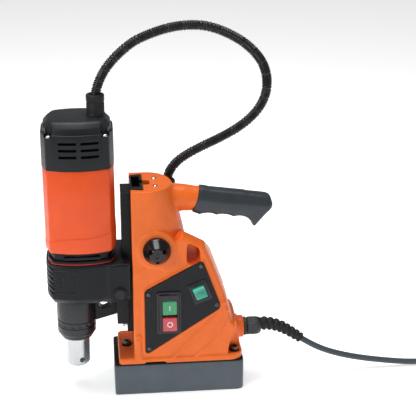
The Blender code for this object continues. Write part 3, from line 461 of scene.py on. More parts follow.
def cut(base, *bodies):
    return carved(base, [('DIFFERENCE', body) for body in bodies])


def cast(bm, voxel, rounds):
    """Remesh a body in small cells and smooth it, which softens its edges as casting does."""
    obj = temporary(bm)
    remesh = obj.modifiers.new("cells", 'REMESH')
    remesh.mode = 'VOXEL'
    remesh.voxel_size = voxel
    soften = obj.modifiers.new("soften", 'SMOOTH')
    soften.factor = 0.5
    soften.iterations = rounds
    return settled(obj)


def add(name, bm, body, slot, finish, edge=0, sharp=38, extra=False):
    """Turn a millimetre mesh into a piece in metres that rides on a body and hides its slot's CAD node in
    its place;
    an extra piece leaves that node shown."""
    bmesh.ops.recalc_face_normals(bm, faces=bm.faces)
    bmesh.ops.scale(bm, vec=(MM, MM, MM), verts=bm.verts)
    mesh = bpy.data.meshes.new(name)
    bm.to_mesh(mesh)
    bm.free()
    mesh.materials.append(FINISH[finish])
    mesh.shade_smooth()
    mesh.set_sharp_from_angle(angle=radians(sharp))
    obj = bpy.data.objects.new(name, mesh)
    link_object(obj)
    if edge:
        mod = obj.modifiers.new("edge", 'BEVEL')
        mod.width = edge * MM
        mod.segments = EDGE_SEGMENTS
        mod.limit_method = 'ANGLE'
        mod.angle_limit = radians(EDGE_ANGLE)
        mod.use_clamp_overlap = True
        mod.harden_normals = True
    if body:
        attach(obj, body)
    if not extra:
        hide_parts(slot)
    return obj


def step_up(value, start, end):
    """0 before start, 1 after end and smooth between."""
    t = min(1, max(0, (value - start) / (end - start)))
    return t * t * (3 - 2 * t)


# ---------------------------------------------------------------- cords
def coil_route():
    """Turns in three layers of three, wound in, out and in again, then a rise to the plug."""
    inwards = (56, 48, 40)
    radii = inwards + inwards[::-1] + inwards
    turns, steps, last_share, layer = len(radii), 48, 0.25, 8
    points = []
    for n in range(turns):
        level = 5.1 + layer * (n // 3)
        end = last_share if n == turns - 1 else 1
        for k in range(int(steps * end) + (n == turns - 1)):
            u = k / steps
            angle = -pi / 2 + 2 * pi * u
            later = radii[min(n + 1, turns - 1)]
            radius = radii[n] + (later - radii[n]) * step_up(u, 0.80, 0.93)
            climb = layer * step_up(u, 0.66, 0.79) if n % 3 == 2 else 0
            points.append(Vector((COIL_X + radius * cos(angle), COIL_Y + radius * sin(angle),
                level + climb)))
    start, end = points[-1], Vector((PLUG_X + 20, PLUG_Y, PLUG_Z))
    out, into = Vector((0, 1, 0.75)) * 70, Vector((-1, 0, 0)) * 62
    rise_steps = 14
    for k in range(1, rise_steps + 1):
        t = k / rise_steps
        points.append((2 * t ** 3 - 3 * t * t + 1) * start + (t ** 3 - 2 * t * t + t) * out
            + (-2 * t ** 3 + 3 * t * t) * end + (t ** 3 - t * t) * into)
    return points


def polyline(name, points, radius, finish):
    """A round cord through points, kept as a curve."""
    curve = bpy.data.curves.new(name, 'CURVE')
    curve.dimensions = '3D'
    curve.bevel_depth = radius * MM
    curve.bevel_resolution = 6
    curve.use_fill_caps = True
    spline = curve.splines.new('POLY')
    spline.points.add(len(points) - 1)
    for point, spot in zip(spline.points, points):
        point.co = (*(Vector(spot) * MM), 1)
    spline.use_smooth = True
    curve.materials.append(FINISH[finish])
    obj = bpy.data.objects.new(name, curve)
    link_object(obj)
    return obj


def build_cords():
    lead = smooth_route(CORD_ROUTE + [(400, 0, 5.1)], 5)
    points = lead + coil_route()
    cord = polyline("mains_lead", points, CORD_R, "cord")
    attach(cord, "frame")
    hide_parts("mains_cord", "mains_coil")
    plug = build_plug()
    guard = build_guard()
    tie = build_tie(radians(200))
    build_hose()


def build_plug():
    """A plain two-pin plug that stands on the coil."""
    def ribs(angle, radius, height):
        return radius - (0.5 if 12 > radius > 6.6 and int(angle * 14 / pi) % 2 else 0)
    body = turned([(4.4, 20), (5.2, 19.4), (5.6, 14), (5.4, 12.6), (5.8, 11.4), (5.7, 9), (6, 7.6),
        (6.5, 4), (8, 1.2), (11, -1.4), (14.4, -3.2), (15.4, -4.6), (15.8, -7), (15.8, -12.5), (15.3, -13),
        (15.8, -13.5), (15.8, -22.6), (15.2, -23.6), (14, -24), (0, -24), (0, 18)],
        (PLUG_X, PLUG_Y, PLUG_Z), 'X', 72, ribs)
    plug = add("plug_body", body, "frame", "mains_plug", "rubber")
    pins = [turned([(0, -22), (2.4, -22), (2.4, -40.8), (2.1, -42.2), (1.2, -43), (0, -43)],
        (PLUG_X, PLUG_Y + side * 9.5, PLUG_Z), 'X', 24) for side in (-1, 1)]
    add("plug_pins", merged(*pins), "frame", "mains_plug", "steel", extra=True)
    return plug


def build_guard():
    """Ribbed strain relief: ribs that shrink towards the cord, on a thin tapered sleeve."""
    spots = smooth_route([(107.5, 0, GLAND_Z + 2.4)] + CORD_ROUTE[:7], 0.8)
    count = len(spots)
    ribs = 8

    def width(k):
        share = k / (count - 1)
        tooth = 0.5 + 0.5 * cos(2 * pi * ribs * share)
        return 9.6 - 2.6 * share - 1.9 * (1 - tooth) ** 2

    return add("bend_guard", tube(spots, width, 28), "frame", "bend_protector", "rubber", sharp=60)


def build_tie(angle):
    """A strap round the turns of the coil, with its head and a loose end."""
    half, thick, wide = 12.5, 0.7, 4.2
    spot = Vector((COIL_X + 48 * cos(angle), COIL_Y + 48 * sin(angle), 13.2))
    radial, along = Vector((cos(angle), sin(angle), 0)), Vector((-sin(angle), cos(angle), 0))
    rings = []
    for offset, lift in ((-wide / 2, 0), (-wide / 2, thick), (wide / 2, thick), (wide / 2, 0)):
        section = rounded(half - 0.3 + lift, half - 0.3 + lift, 4, steps=5)
        rings.append([spot + radial * u + Vector((0, 0, v)) + along * offset for u, v in section])
    band = loft(rings, closed=True)
    place = Matrix.Translation(spot) @ Matrix.Rotation(angle, 4, 'Z')
    head = moved(box(-3.2, 3.2, -2.4, 2.4, half - 0.6, half + 3.2), place)
    tail = moved(box(-1, 1, -1.6, 1.6, half, half + 7.5), place @ Matrix.Rotation(0.18, 4, 'Y'))
    return add("cord_tie", merged(band, head, tail), "frame", "mains_cord", "rubber", edge=0.3, extra=True)


def build_hose():
    """The corrugated conduit: its radius dips once in every few points of the route."""
    spots = smooth_route(HOSE_ROUTE, 0.4)
    per_ring = 6

    def width(k):
        share = (k % per_ring) / per_ring
        return HOSE_R - 0.95 * (0.5 - 0.5 * cos(2 * pi * share)) ** 0.7

    hose = add("corrugated_hose", tube(spots, width, 20), None, "conduit_hose", "hose", sharp=80)
    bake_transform(hose)


# ---------------------------------------------------------------- base
def base_plan(half_x, half_y, front, rear, steps=8):
    """Plan of the magnet: small corner radii in front and larger ones behind."""
    points = []
    for sx, sy, start, radius in ((1, 1, 0, rear), (-1, 1, 90, front), (-1, -1, 180, front),
            (1, -1, 270, rear)):
        for k in range(steps + 1):
            a = radians(start + 90 * k / steps)
            points.append((sx * (half_x - radius) + radius * cos(a),
                sy * (half_y - radius) + radius * sin(a)))
    return points


def build_base():
    levels = ((0, 0.9), (0.3, 0.35), (0.9, 0), (40.9, 0), (41.6, 0.3), (42, 1))
    shell = stacked(lambda i: base_plan(85 - i, 43.5 - i, 3.2 - i / 2, 9 - i / 2), levels)
    pocket = prism(rounded(73, 30, 12), -1, 2.6)
    pole = prism(rounded(55, 12, 6), -2, 3)
    body = cut(shell, cut(pocket, pole))
    add("magnet_shell", body, "frame", "magnet_housing", "slate")
    resin = cut(prism(rounded(72.6, 29.6, 11.6), 0.35, 3), prism(rounded(55.4, 12.4, 6.4), -1, 4))
    add("pole_resin", resin, "frame", "magnet_potting", "resin", edge=0.15)
    levels = ((42.1, 0.3), (42.4, 0), (42.9, 0), (43.3, 0.4))
    sheet = stacked(lambda i: base_plan(84.6 - i, 43.1 - i, 3, 8.8), levels)
    add("foot_sheet", sheet, "frame", "base_gasket", "sheet")


# ---------------------------------------------------------------- cast frame
COL_FRONT, COL_TOP, COL_HALF = -58.8, 280, 40.9
BODY_HALF = 41.5
BOLTS = {"base_bolt_front": (-67.5, 0), "base_bolt_near": (73.5, -30), "base_bolt_far": (73.5, 30)}
PANEL_CORNERS = [(-44, 60), (-40, 59.8), (51.8, 119), (52.6, 125.4), (31.2, 184), (27, 185.4), (-42, 148.2),
    (-44, 145)]


def boat(front, straight, tip, half, steps=24):
    """Plan of the column: square in front, bulging behind."""
    points = [(front, -half)]
    for k in range(steps + 1):
        a = -pi / 2 + pi * k / steps
        points.append((straight + (tip - straight) * cos(a), half * sin(a)))
    return points + [(front, half)]


def body_side(i):
    """Side view of the body behind the column, drawn in by i on its top and back."""
    front = COL_FRONT + 0.3
    return [(front, 50), (front, 170), (-30, 186), (-9, 207), (5.5 - i * 0.3, 222 - i),
        (34 - i * 0.5, 206.5 - i), (36.9 - i, 200), (45.3 - i, 180), (55.2 - i, 152.5), (62.8 - i, 131.5),
        (70.5 - i, 98), (76 - i, 96 - i), (79.5 - i, 72), (83 - i, 50)]


def foot_plan(inset):
    front, rear, half = -79 + inset, 84 - inset, 43 - inset
    points = [(front, half - 4), (front, -half + 3), (front + 3, -half)]
    for sy, start in ((-1, 270), (1, 0)):
        for k in range(9):
            a = radians(start + 90 * k / 8)
            points.append((rear - 16 + 16 * cos(a), sy * (half - 16) + 16 * sin(a)))
    return points + [(front + 4, half)]


def ridge(points, radius=2.2, rise=0.1):
    """A half-sunk bead on both side faces."""
    beads = []
    for side in (-1, 1):
        route = smooth_route([(x, side * (BODY_HALF - 0.4 + rise), z) for x, z in points], 2)
        beads.append(tube(route, radius, 10))
    return beads


def frame_bodies():
    """The foot, and what is joined to it: column, body, handle root, bosses, ridges and the panel's rim."""
    foot = stacked(foot_plan, ((43.5, 0), (50.5, 0), (52, 1.2)))
    levels = ((51, 15), (190, 15), (225, 7.8), (240, 4.3), (COL_TOP, -5.6))
    column = stacked(lambda tip: boat(COL_FRONT, -38, tip, COL_HALF), levels)
    insets = ((-BODY_HALF, 5), (-39.5, 2.8), (-36, 1.3), (-31, 0.5), (-20, 0), (20, 0), (31, 0.5),
        (36, 1.3), (39.5, 2.8), (BODY_HALF, 5))
    roof = ((-12, 270), (-12, 231.5), (5.5, 222), (34, 206.5), (60, 192), (60, 270))
    slope = loft([[(x, y, z - drop) for x, z in roof] for y, drop in ((-24, 0), (50, 34))])
    body = cut(loft([[(x, y, z) for x, z in body_side(i)] for y, i in insets]), slope)
    root, root_steps = [], 32
    for x, z, half_y, half_z in ((-42, 259, 14, 14), (-20, 258.8, 18.6, 18), (-6, 258.4, 19, 18.6),
            (6, 257.6, 17.6, 17.4), (16, 256.8, 16.4, 16.2), (25.6, 256, 15.8, 15.6)):
        ring = []
        for k in range(root_steps):
            up = half_z * sin(2 * pi * k / root_steps)
            ring.append((x + GRIP_LEAN * up * (x > 0), half_y * cos(2 * pi * k / root_steps), z + up))
        root.append(ring)
    bodies = [column, body, loft(root)]
    for side in (-1, 1):
        face = BODY_HALF + 1.4
        boss = [(0, 30), (25.4, 30), (25.4, face - 1.6), (24.2, face), (0, face)]
        lobe = [(0, 30), (9.8, 30), (9.8, face - 1.2), (8.9, face - 0.4), (0, face - 0.4)]
        for profile, x, z, steps in ((boss, PINION_X, PINION_Z, 64), (lobe, -15, 183, 40)):
            bodies.append(turned([(r, side * y) for r, y in profile], (x, 0, z), 'Y', steps))
        bodies.append(turned([(0, 49), (5.4, 49), (5.4, 81), (4.2, 85), (2.2, 87.2), (0, 87.8)],
            (-52.6, side * 38.6, 0), 'Z', 28))
    gland_boss = [(0, 62), (14.8, 62), (14.8, 87.6), (13.9, 88.5), (0, 88.5)]
    bodies.append(turned(gland_boss, (0, 0, GLAND_Z), 'X', 48))
    bodies.append(prism(filleted([(-17, 52), (17, 52), (17, 84), (-17, 84)], 6), 60, 81.5, 'X'))
    bodies.append(disc(11.4, 200, 261.5, HOSE_BOSS, edge=1))
    bodies += ridge([(58.9, 127.9), (50.3, 110.7), (30.8, 90.2), (9, 69.6), (-8.6, 51.2)])
    bodies += ridge([(63.2, 116.8), (50.4, 78.4), (30.8, 60), (20, 50)])
    panel = filleted(PANEL_CORNERS, 4)
    section = ((0.4, -2), (0.4, 0.9), (1, 1.5), (2, 1.5), (2.8, 0.9), (2.8, -2))
    rim = [[(x, -BODY_HALF - rise, z) for x, z in grown(panel, out)] for out, rise in section]
    bodies.append(loft(rim, closed=True))
    return foot, bodies


def frame_cuts():
    """Dovetail channel, hub and shaft bores, strap slot, bolt pockets, screw holes, panel hollow."""
    mouth, deep, gib = 27.3, 31.3, 3.2
    channel = [(COL_FRONT - 3, -mouth), (-58, -mouth), (-42.9, -deep), (-42.9, deep + gib),
        (-58, mouth + gib), (COL_FRONT - 3, mouth + gib)]
    slot = filleted([(10.8, 207.5), (14.6, 210.5), (24.8, 204), (27, 199.5), (27.4, 187.5), (24.8, 184.4),
        (13.4, 184.4), (10.8, 187)], 2.4)
    sill = filleted([(10.8, 207.5), (14.6, 210.5), (24.8, 204), (27.4, 199), (28, 184.5), (24.8, 180.6),
        (13, 181.6), (10.4, 185)], 2.4)
    mouth_cut = loft([[(x, y, z) for x, z in ring] for y, ring in ((-BODY_HALF - 4, sill), (-26, slot))])
    cuts = [prism(channel, 52.4, COL_TOP + 1), box(-45.2, -33.7, -8.5, 8.5, 52.4, COL_TOP + 1),
        disc(17.2, -8.4, 8.4, (PINION_X, 0, PINION_Z), 'Y'), disc(9.6, -46, 46, (PINION_X, 0, PINION_Z),
        'Y'), prism(slot, -BODY_HALF - 3, BODY_HALF + 3, 'Y'), mouth_cut,
        prism([(-46, 43), (-17, 43), (-18.4, 45.6), (-44.6, 45.6)], -44, -31, 'Y'),
        disc(8.2, 251, 266, HOSE_BOSS), disc(5.5, 50, 95, (0, 0, GLAND_Z), 'X'),
        prism([(-36, 71), (40, 118), (44.5, 126), (28, 172), (-36, 139.5)], -BODY_HALF - 2, -13, 'Y')]
    for x, y in BOLTS.values():
        cuts.append(turned([(0, 42), (3.4, 42), (3.4, 47), (6.4, 47), (6.8, 58), (0, 58)], (x, y, 0),
            steps=40))
        if y:
            cuts.append(turned([(0, 52.2), (13.5, 52.2), (11.5, 68), (3, 96), (0, 98)],
                (x + 3, y * 1.22, 0), steps=48))
    for z in (235, 262):
        cuts.append(disc(2.6, 20, 44, (-50.5, 0, z), 'Y', 24))
    cuts.append(turned([(0, -46), (2, -46), (2, -42.2), (0, -42.2)], (-52.6, 0, 80), 'Y', 20))
    return cuts


def build_frame():
    foot, bodies = frame_bodies()
    steps = [('UNION', b) for b in bodies] + [('DIFFERENCE', c) for c in frame_cuts()]
    rough = carved(foot, steps)
    add("cast_frame", cast(rough, 1, 4), "frame", "frame_casting", "orange", sharp=180)


def socket_head(radius, low, high, centre, socket, depth):
    """A knurled cap screw head with a hexagon socket."""
    knurl = 36
    head = turned([(0, low), (radius - 0.3, low), (radius, low + 0.3), (radius, high - 0.9),
        (radius - 0.7, high - 0.1), (radius - 1.1, high), (0, high)], centre, 'Z', 72, lambda a, r,
        h: r - (0.14 if r > radius - 0.2 and int(a * knurl / pi) % 2 else 0))
    return cut(head, turned([(0, high - depth), (socket, high - depth), (socket, high + 1), (0, high + 1)],
        centre, 'Z', 6))


def cross_head(radius, low, high, centre, axis='Z', angle=0.4):
    """A pan head with a cross recess; its top, high, is below low on a face that looks down the axis."""
    way, tall = (1 if high > low else -1), abs(high - low)
    head = turned([(0, low), (radius, low), (radius, low + way * 0.35 * tall),
        (radius * 0.8, low + way * 0.8 * tall), (radius * 0.45, high), (0, high)], centre, axis, 40)
    slots = []
    for k in range(2):
        size, deep = radius * 0.62, tall * 0.7
        u, v = (size, radius * 0.13) if k else (radius * 0.13, size)
        a, b = sorted((high - way * deep, high + way * 1))
        tool = box(-u, u, -v, v, a, b) if axis == 'Z' else box(-u, u, a, b, -v, v)
        slots.append(moved(tool, Matrix.Translation(centre) @ Matrix.Rotation(angle, 4, axis)))
    return cut(head, *slots)


def build_frame_fittings():
    for name, (x, y) in BOLTS.items():
        add(name + "_head", socket_head(5, 47.3, 57.6, (x, y, 0), 2.7, 3.6), "frame", name, "dark_steel")
    tops = [cross_head(3.4, COL_TOP - 0.6, COL_TOP + 1.3, (-27, y, 0), 'Z', 0.5 + y) for y in (-15, 15)]
    add("top_screws", merged(*tops), "frame", "gib_screw_1", "steel", extra=True)
    body = turned([(6.7, 258.6), (7.6, 258.6), (7.6, 262), (10, 262), (10.2, 262.4), (10.2, 267.8),
        (9.6, 269.2), (8.6, 270), (6.7, 270)], HOSE_BOSS, 'Z', 72, lambda a, r,
        h: r - (0.45 if 9.9 < r and int(a * 12 / pi) % 2 else 0))
    add("hose_fitting", body, "frame", "hose_gland", "rubber")


def build_grip():
    """Pistol grip: a light-catching top band, flat sides and four finger waves, ending in a hook."""
    scallops = (29.8, 50.6, 73.7, 92.9)

    def along(x, spots):
        """Height at x on a line through (x, height) spots."""
        for (x0, z0), (x1, z1) in zip(spots, spots[1:]):
            if x <= x1:
                return z0 + (z1 - z0) * max(0, (x - x0) / (x1 - x0))
        return spots[-1][1]

    def top(x):
        return along(x, [(20, 273.3), (60, 268.4), (88.6, 264.4), (90.6, 263.6), (110, 260.9), (117, 259.6),
            (120, 258.3), (122.2, 255.8), (123.8, 251.5)])

    def low(x):
        if x < scallops[0]:
            return along(x, [(20, 240.6), (29.8, 236.9)])
        if x < scallops[-1]:
            base = along(x, [(29.8, 236.2), (50.6, 234.6), (73.7, 231.4), (92.9, 228.2)])
            for a, b in zip(scallops, scallops[1:]):
                if a <= x <= b:
                    return base + 2.3 * sin(pi * (x - a) / (b - a)) ** 0.8
        return along(x, [(92.9, 228.2), (95.6, 224.8), (98.2, 219.2), (99.6, 217.4), (101.2, 217.3),
            (102.4, 218.2), (122.2, 241.4), (123.4, 244.5), (123.8, 247.5)])

    def crease(x):
        return along(x, [(20, 259), (122.9, 245.9), (123.8, 248.5)])

    start, end_x, pitch, root_gap = 21.5, 123.8, 0.7, 4.2
    stations = [start + pitch * k for k in range(int((end_x - 0.2 - start) / pitch) + 1)] + [end_x]
    rings = []
    for x in stations:
        hi, lo, mid = top(x), low(x), crease(x)
        end = step_up(x, 117.5, 124.6)
        wide = 15 - 5.5 * end ** 1.6
        hook = step_up(x, 92, 99)
        foot = wide * (0.62 - 0.16 * hook)
        half = [(0, hi), (wide * 0.30, hi - 0.3), (wide * 0.52, hi - 1.3), (wide * 0.68, hi - 3),
            (wide * 0.86, mid + (hi - mid) * 0.42), (wide * 0.97, mid + 1.4), (wide, mid - 0.6),
            (wide, mid - 3), (wide * 0.995, lo + (mid - lo) * 0.45), (wide * 0.94,
            lo + min(5, (mid - lo) * 0.3)), (foot + (wide - foot) * 0.45, lo + min(1.8, (mid - lo) * 0.12)),
            (foot * 0.8, lo + 0.3), (0, lo)]
        ring = [(y, z) for y, z in half] + [(-y, z) for y, z in half[-2:0:-1]]
        lean = 1 - step_up(x, 24, 44)
        pull = root_gap * (1 - step_up(x, start, 60))
        rings.append([(x + lean * GRIP_LEAN * (z - 256) + pull, y, z) for y, z in ring])
    add("hand_grip", loft(rings), "frame", "handle_grip", "grip", sharp=50)


# ---------------------------------------------------------------- panel and switches
PANEL_SCREWS = ((-39.2, 142.6), (28, 179.3), (48.6, 124.6), (-39.8, 66))


def build_panel():
    plate = prism(filleted(PANEL_CORNERS, 4, 3), PANEL_FACE, PLATE_BACK, 'Y')
    window = prism(rounded(WINDOW_HALF_X, WINDOW_HALF_Z, 1.6, (WINDOW_X, WINDOW_Z)), IN_FRONT, -30, 'Y')
    add("switch_plate", cut(plate, window), "frame", "control_panel", "panel", edge=0.7)
    for k, (x, z) in enumerate(PANEL_SCREWS):
        node = "panel_screw_%d" % (k + 1)
        add("plate_screw_%d" % (k + 1), cross_head(2.7, PANEL_FACE + 0.3, PANEL_FACE - 1.7, (x, 0, z), 'Y',
            0.3 + k), "frame", node, "dark_steel")


def framed(centre, half_x, half_z, radius, profile, steps=5):
    """A rectangular moulding on the panel: profile pairs are (inset, y), lofted in turn."""
    rings = []
    for inset, y in profile:
        ring = rounded(half_x - inset, half_z - inset, max(0.25, radius - inset * 0.7), centre, steps)
        rings.append([(x, y, z) for x, z in ring])
    return loft(rings)


def build_motor_switch():
    centre = (SWITCH_X, SWITCH_Z)
    base = framed(centre, 15.7, 29.6, 2.6, [(0, -44.3), (0, -45.6), (0.5, -46.1), (2.4, -46.3), (2.9, -48),
        (3.4, -48.5), (4.2, -48.6)])
    middle = (WINDOW_X, WINDOW_Z)
    window = framed(middle, WINDOW_HALF_X, WINDOW_HALF_Z, 1.6, [(0, IN_FRONT), (0, -43.9)])
    grooves = []
    for x in (SWITCH_X - 14, SWITCH_X + 14):
        grooves.append(box(x - 0.5, x + 0.5, -50, -45.6, SWITCH_Z - 20, SWITCH_Z + 12))
    add("button_bezel", cut(base, window, *grooves), "frame", "motor_switch_body", "switch")
    lip = framed(middle, 10.6, 22.1, 2, [(0, -48.6), (0.3, -49), (1, -49)])
    lip = cut(lip, framed(middle, 9.5, 21, 1.2, [(0, IN_FRONT), (0, -40)]))
    add("bezel_lip", lip, "frame", "motor_switch_body", "switch", extra=True)
    for name, z, finish in (("start_button", 125.2, "green"), ("stop_button", 102.2, "red")):
        face = framed((WINDOW_X, z), 9.2, 9.6, 1.1, [(0, -45.2), (0, -49.4), (0.35, -50), (1, -50.25),
            (2.2, -50.3)])
        add(name + "_cap", face, name, name, finish)
        if name == "start_button":
            mark = framed((WINDOW_X, z), 0.45, 3.4, 0.3, [(0, -50), (0, -50.45)])
        else:
            mark = turned([(2.7, -50), (3.6, -50), (3.6, -50.45), (2.7, -50.45)], (WINDOW_X, 0, z), 'Y', 48)
        add(name + "_mark", mark, name, name, "white", extra=True)


def build_rocker_switch():
    pivot = Vector((ROCKER_X, PANEL_FACE - 0.6, ROCKER_Z))
    lean = about(pivot, -ROCKER_TILT, 'Y')
    centre = (ROCKER_X, ROCKER_Z)
    base = framed(centre, 12.4, 14.4, 1.6, [(0, -44.3), (0, -45.4), (0.4, -45.9), (1.6, -46.1),
        (2.2, -46.9), (2.8, -47.2), (3.4, -47.2)])
    window = framed(centre, 8.3, 10, 0.8, [(0, IN_FRONT), (0, -43.8)])
    add("rocker_bezel", moved(cut(base, window), lean), "frame", "magnet_switch_body", "switch")
    profile = [(-8.9, -47.2), (-8.6, -47.9), (-7.6, -48), (-4, -47.3), (0, -46.9), (3, -47.1), (5.4, -47.9),
        (6.4, -49.2), (7.6, -50), (8.6, -49.9), (9.1, -49.2), (9, -44), (3, -41), (-3, -41), (-8.8, -43.2)]
    widths = (-7.7, -7.3, 7.3, 7.7)
    shrink = (0.93, 1, 1, 0.93)
    back = -44
    key = loft([[(ROCKER_X + x, back + (y - back) * s, ROCKER_Z + z * s) for z, y in profile]
                for x, s in zip(widths, shrink)])
    add("rocker_key", moved(key, lean), "magnet_rocker", "magnet_rocker", "teal", edge=0.25)
    ribs = []
    for z in (-6.6, -4.4, -2.2, 0):
        y = -47.15 - 0.10 * abs(z + 4)
        ribs.append(tube([(ROCKER_X + x, y, ROCKER_Z + z) for x in (-6, 0, 6)], 0.42, 8))
    add("rocker_ribs", moved(merged(*ribs), lean), "magnet_rocker", "magnet_rocker", "teal", extra=True)
    bar = tube([(ROCKER_X + x, -48.3, ROCKER_Z + 7.3) for x in (-7.4, -7.2, 0, 7.2, 7.4)],
        lambda k: 1.5 if k in (0, 4) else 1.75, 20)
    add("rocker_lens", moved(bar, lean), "magnet_rocker", "magnet_rocker", "lens", extra=True)


# ---------------------------------------------------------------- gland
def build_gland():
    def flutes(angle, radius, height):
        return radius - (0.5 if radius > 11.9 and int(angle * 18 / pi) % 2 else 0)
    body = turned([(4.6, 88.7), (12, 88.7), (12.3, 89.1), (12.3, 92.2), (9.4, 92.8), (9.4, 98), (4.6, 98)],
        (0, 0, GLAND_Z), 'X', 72, flutes)
    add("gland_body", body, "frame", "cable_gland", "gland")
    hexagon = turned([(9.6, 93.3), (12.4, 93.3), (13.6, 94.2), (13.6, 105.2), (12.6, 106.6), (9.6, 106.6)],
        (0, 0, GLAND_Z), 'X', 6)
    dome = turned([(5.7, 100), (11.7, 105), (11.9, 107.4), (11.2, 109.4), (9.8, 111.2), (8.4, 112.2),
        (5.7, 112.4)], (0, 0, GLAND_Z), 'X', 64)
    add("gland_cap_nut", merged(hexagon, dome), "frame", "gland_nut", "gland", edge=0.5)


# ---------------------------------------------------------------- motor
def motor_section(half, steps=28, corner=2.6):
    """Plan of the motor: crowned near and far faces, corner flats, straight sides, soft joins."""
    scale = half / MOTOR_HALF
    points = []
    for side in (1, -1):
        for k in range(steps + 1):
            x = CROWN_HALF * (1 - 2 * k / steps)
            y = MOTOR_HALF - CROWN_R + sqrt(CROWN_R ** 2 - x ** 2)
            points.append(Vector((side * x * scale, side * y * scale)))
        points += [Vector((-side * half, side * FLAT_HALF * scale)),
            Vector((-side * half, -side * FLAT_HALF * scale))]
    out = []
    for k, spot in enumerate(points):
        before, after = points[k - 1] - spot, points[(k + 1) % len(points)] - spot
        bend = abs(degrees(before.angle(-after)))
        if bend < 10:
            out.append(spot)
            continue
        one, two = (spot + side.normalized() * min(corner, side.length * 0.5) for side in (before, after))
        for t in (0, 0.25, 0.5, 0.75, 1):
            out.append((1 - t) ** 2 * one + 2 * t * (1 - t) * spot + t * t * two)
    return [(MOTOR_X + p.x, p.y) for p in out]


def build_housing():
    """The shell's lower part stands out half a millimetre below a line that sweeps up to the right."""
    levels = [(201.3, 2.6), (201.6, 1.5), (202.4, 0.6), (203.8, 0.1), (205.2, 0)]
    levels += [(212 + 0.8 * k, 0) for k in range(30)] + [(260, 0), (309.6, 0), (310.7, 0.5)]
    rings = []
    for z, inset in levels:
        ring = []
        for x, y in motor_section(MOTOR_HALF - 0.6 - inset):
            share = (x - MOTOR_X) / MOTOR_HALF
            line = 223 + 8 * share - 2.4 * sin(pi * share)
            swell = 1 + 0.014 * (1 - step_up(z, line - 1, line + 0.2)) * step_up(z, 203, 207)
            ring.append((MOTOR_X + (x - MOTOR_X) * swell, y * swell, z))
        rings.append(ring)
    add("motor_shell", loft(rings), "carriage", "motor_housing", "housing", sharp=60)


def build_cap():
    levels = ((311, 0.9), (311.4, 0.2), (312.4, 0), (354.6, 0.2), (355.8, 0.5), (356.4, 1.2), (356.6, 2.4),
        (357.6, 2.9), (361.8, 3.1), (363.2, 3.6), (364.2, 4.6), (368.4, 8.4), (369.6, 10), (370.6, 12.4),
        (371, 15))
    shell = stacked(lambda i: motor_section(MOTOR_HALF - i, corner=3.5), levels)
    cuts = []
    for side in (-1, 1):
        for centre in (MOTOR_X - 11.8, MOTOR_X + 15.4):
            for z in (329.1, 337.6, 346.1):
                vent = rounded(11.2, 1.75, 1.2, (centre, z), 4)
                low, high = sorted((side * 36, side * 50))
                cuts.append(prism(vent, low, high, 'Y'))
    for sx in (-1, 1):
        for sy in (-1, 1):
            x, y = MOTOR_X + sx * CAP_SCREW, sy * CAP_SCREW
            cuts.append(disc(5.4, 352.6, 380, (x, y, 0), steps=40))
            place = Matrix.Translation((x, y, 0)) @ Matrix.Rotation(atan2(sy, sx * 0.45), 4, 'Z')
            cuts.append(moved(box(0, 12, -5.4, 5.4, 352.6, 380), place))
    add("motor_cap", cut(shell, *cuts), "carriage", "motor_end_cap", "cap", edge=0.35)
    for k, (sx, sy) in enumerate(((-1, -1), (1, -1), (-1, 1), (1, 1))):
        node = "cap_screw_%d" % (k + 1)
        place = (MOTOR_X + sx * CAP_SCREW, sy * CAP_SCREW, 0)
        add(node + "_head", cross_head(3.7, 352.9, 355.4, place, 'Z', 0.3 + k), "carriage", node, "steel")
    boot = turned([(6.7, 371), (12, 371), (12.2, 371.6), (11.6, 373.2), (11.2, 374.4), (11.2, 386),
        (10.9, 386.6), (10.9, 388.2), (11.4, 388.8), (11.5, 394.6), (11.2, 396.2), (10.4, 397), (8.2, 397),
        (7.6, 396.4), (6.9, 393)], (BOOT_X, 0, 0), 'Z', 64)
    add("hose_boot", boot, "carriage", "cable_boot", "rubber")


def build_neck():
    levels = ((187.9, 3.4), (188.3, 2.8), (190.4, 2.8), (190.8, 3.2), (191.4, 6), (198, 6), (198.8, 3.4),
        (199.4, 3), (201.2, 3))
    neck = stacked(lambda i: motor_section(MOTOR_HALF - i), levels)
    bars = []
    for side in (-1, 1):
        low, high = sorted((side * 34, side * 41.6))
        bars.append(prism(rounded(23, 1.5, 0.9, (MOTOR_X + 1, 194.8), 4), low, high, 'Y'))
    add("neck_casting", merged(neck, *bars), "carriage", "gearbox_neck", "case", edge=0.3)
    levels = ((186.2, 2.6), (186.5, 2.2), (187.5, 2.2), (187.8, 2.6))
    seal = stacked(lambda i: motor_section(MOTOR_HALF - i), levels)
    add("neck_seal", seal, "carriage", "gearbox_gasket", "gasket")


# ---------------------------------------------------------------- gearbox
def case_plan(inset):
    """Plan of the gear case: the crowned front runs into the carriage block, notched for the slide."""
    rear_x, front_x, steps = -62.6, -161, 48
    xs = [rear_x + (front_x - rear_x) * k / steps for k in range(steps + 1)]
    front = []
    for x in xs:
        u = x - MOTOR_X
        pull = 0.75 if u < 0 else 0.6
        front.append((x - inset * pull * u / 61, case_face(x) + inset))
    left = [(-165.6 + inset, -26), (-167.2 + inset, -19.6), (-168 + inset, -12), (-168.2 + inset, 0)]
    half = front + left
    ring = half + [(x, -y) for x, y in half[-2::-1]]
    rear = -61.8 - inset
    ring += [(rear, 38.6 - inset), (rear, 19.4), (-71.4, 19.4), (-71.4, -19.4), (rear, -19.4),
        (rear, -38.6 + inset)]
    return ring


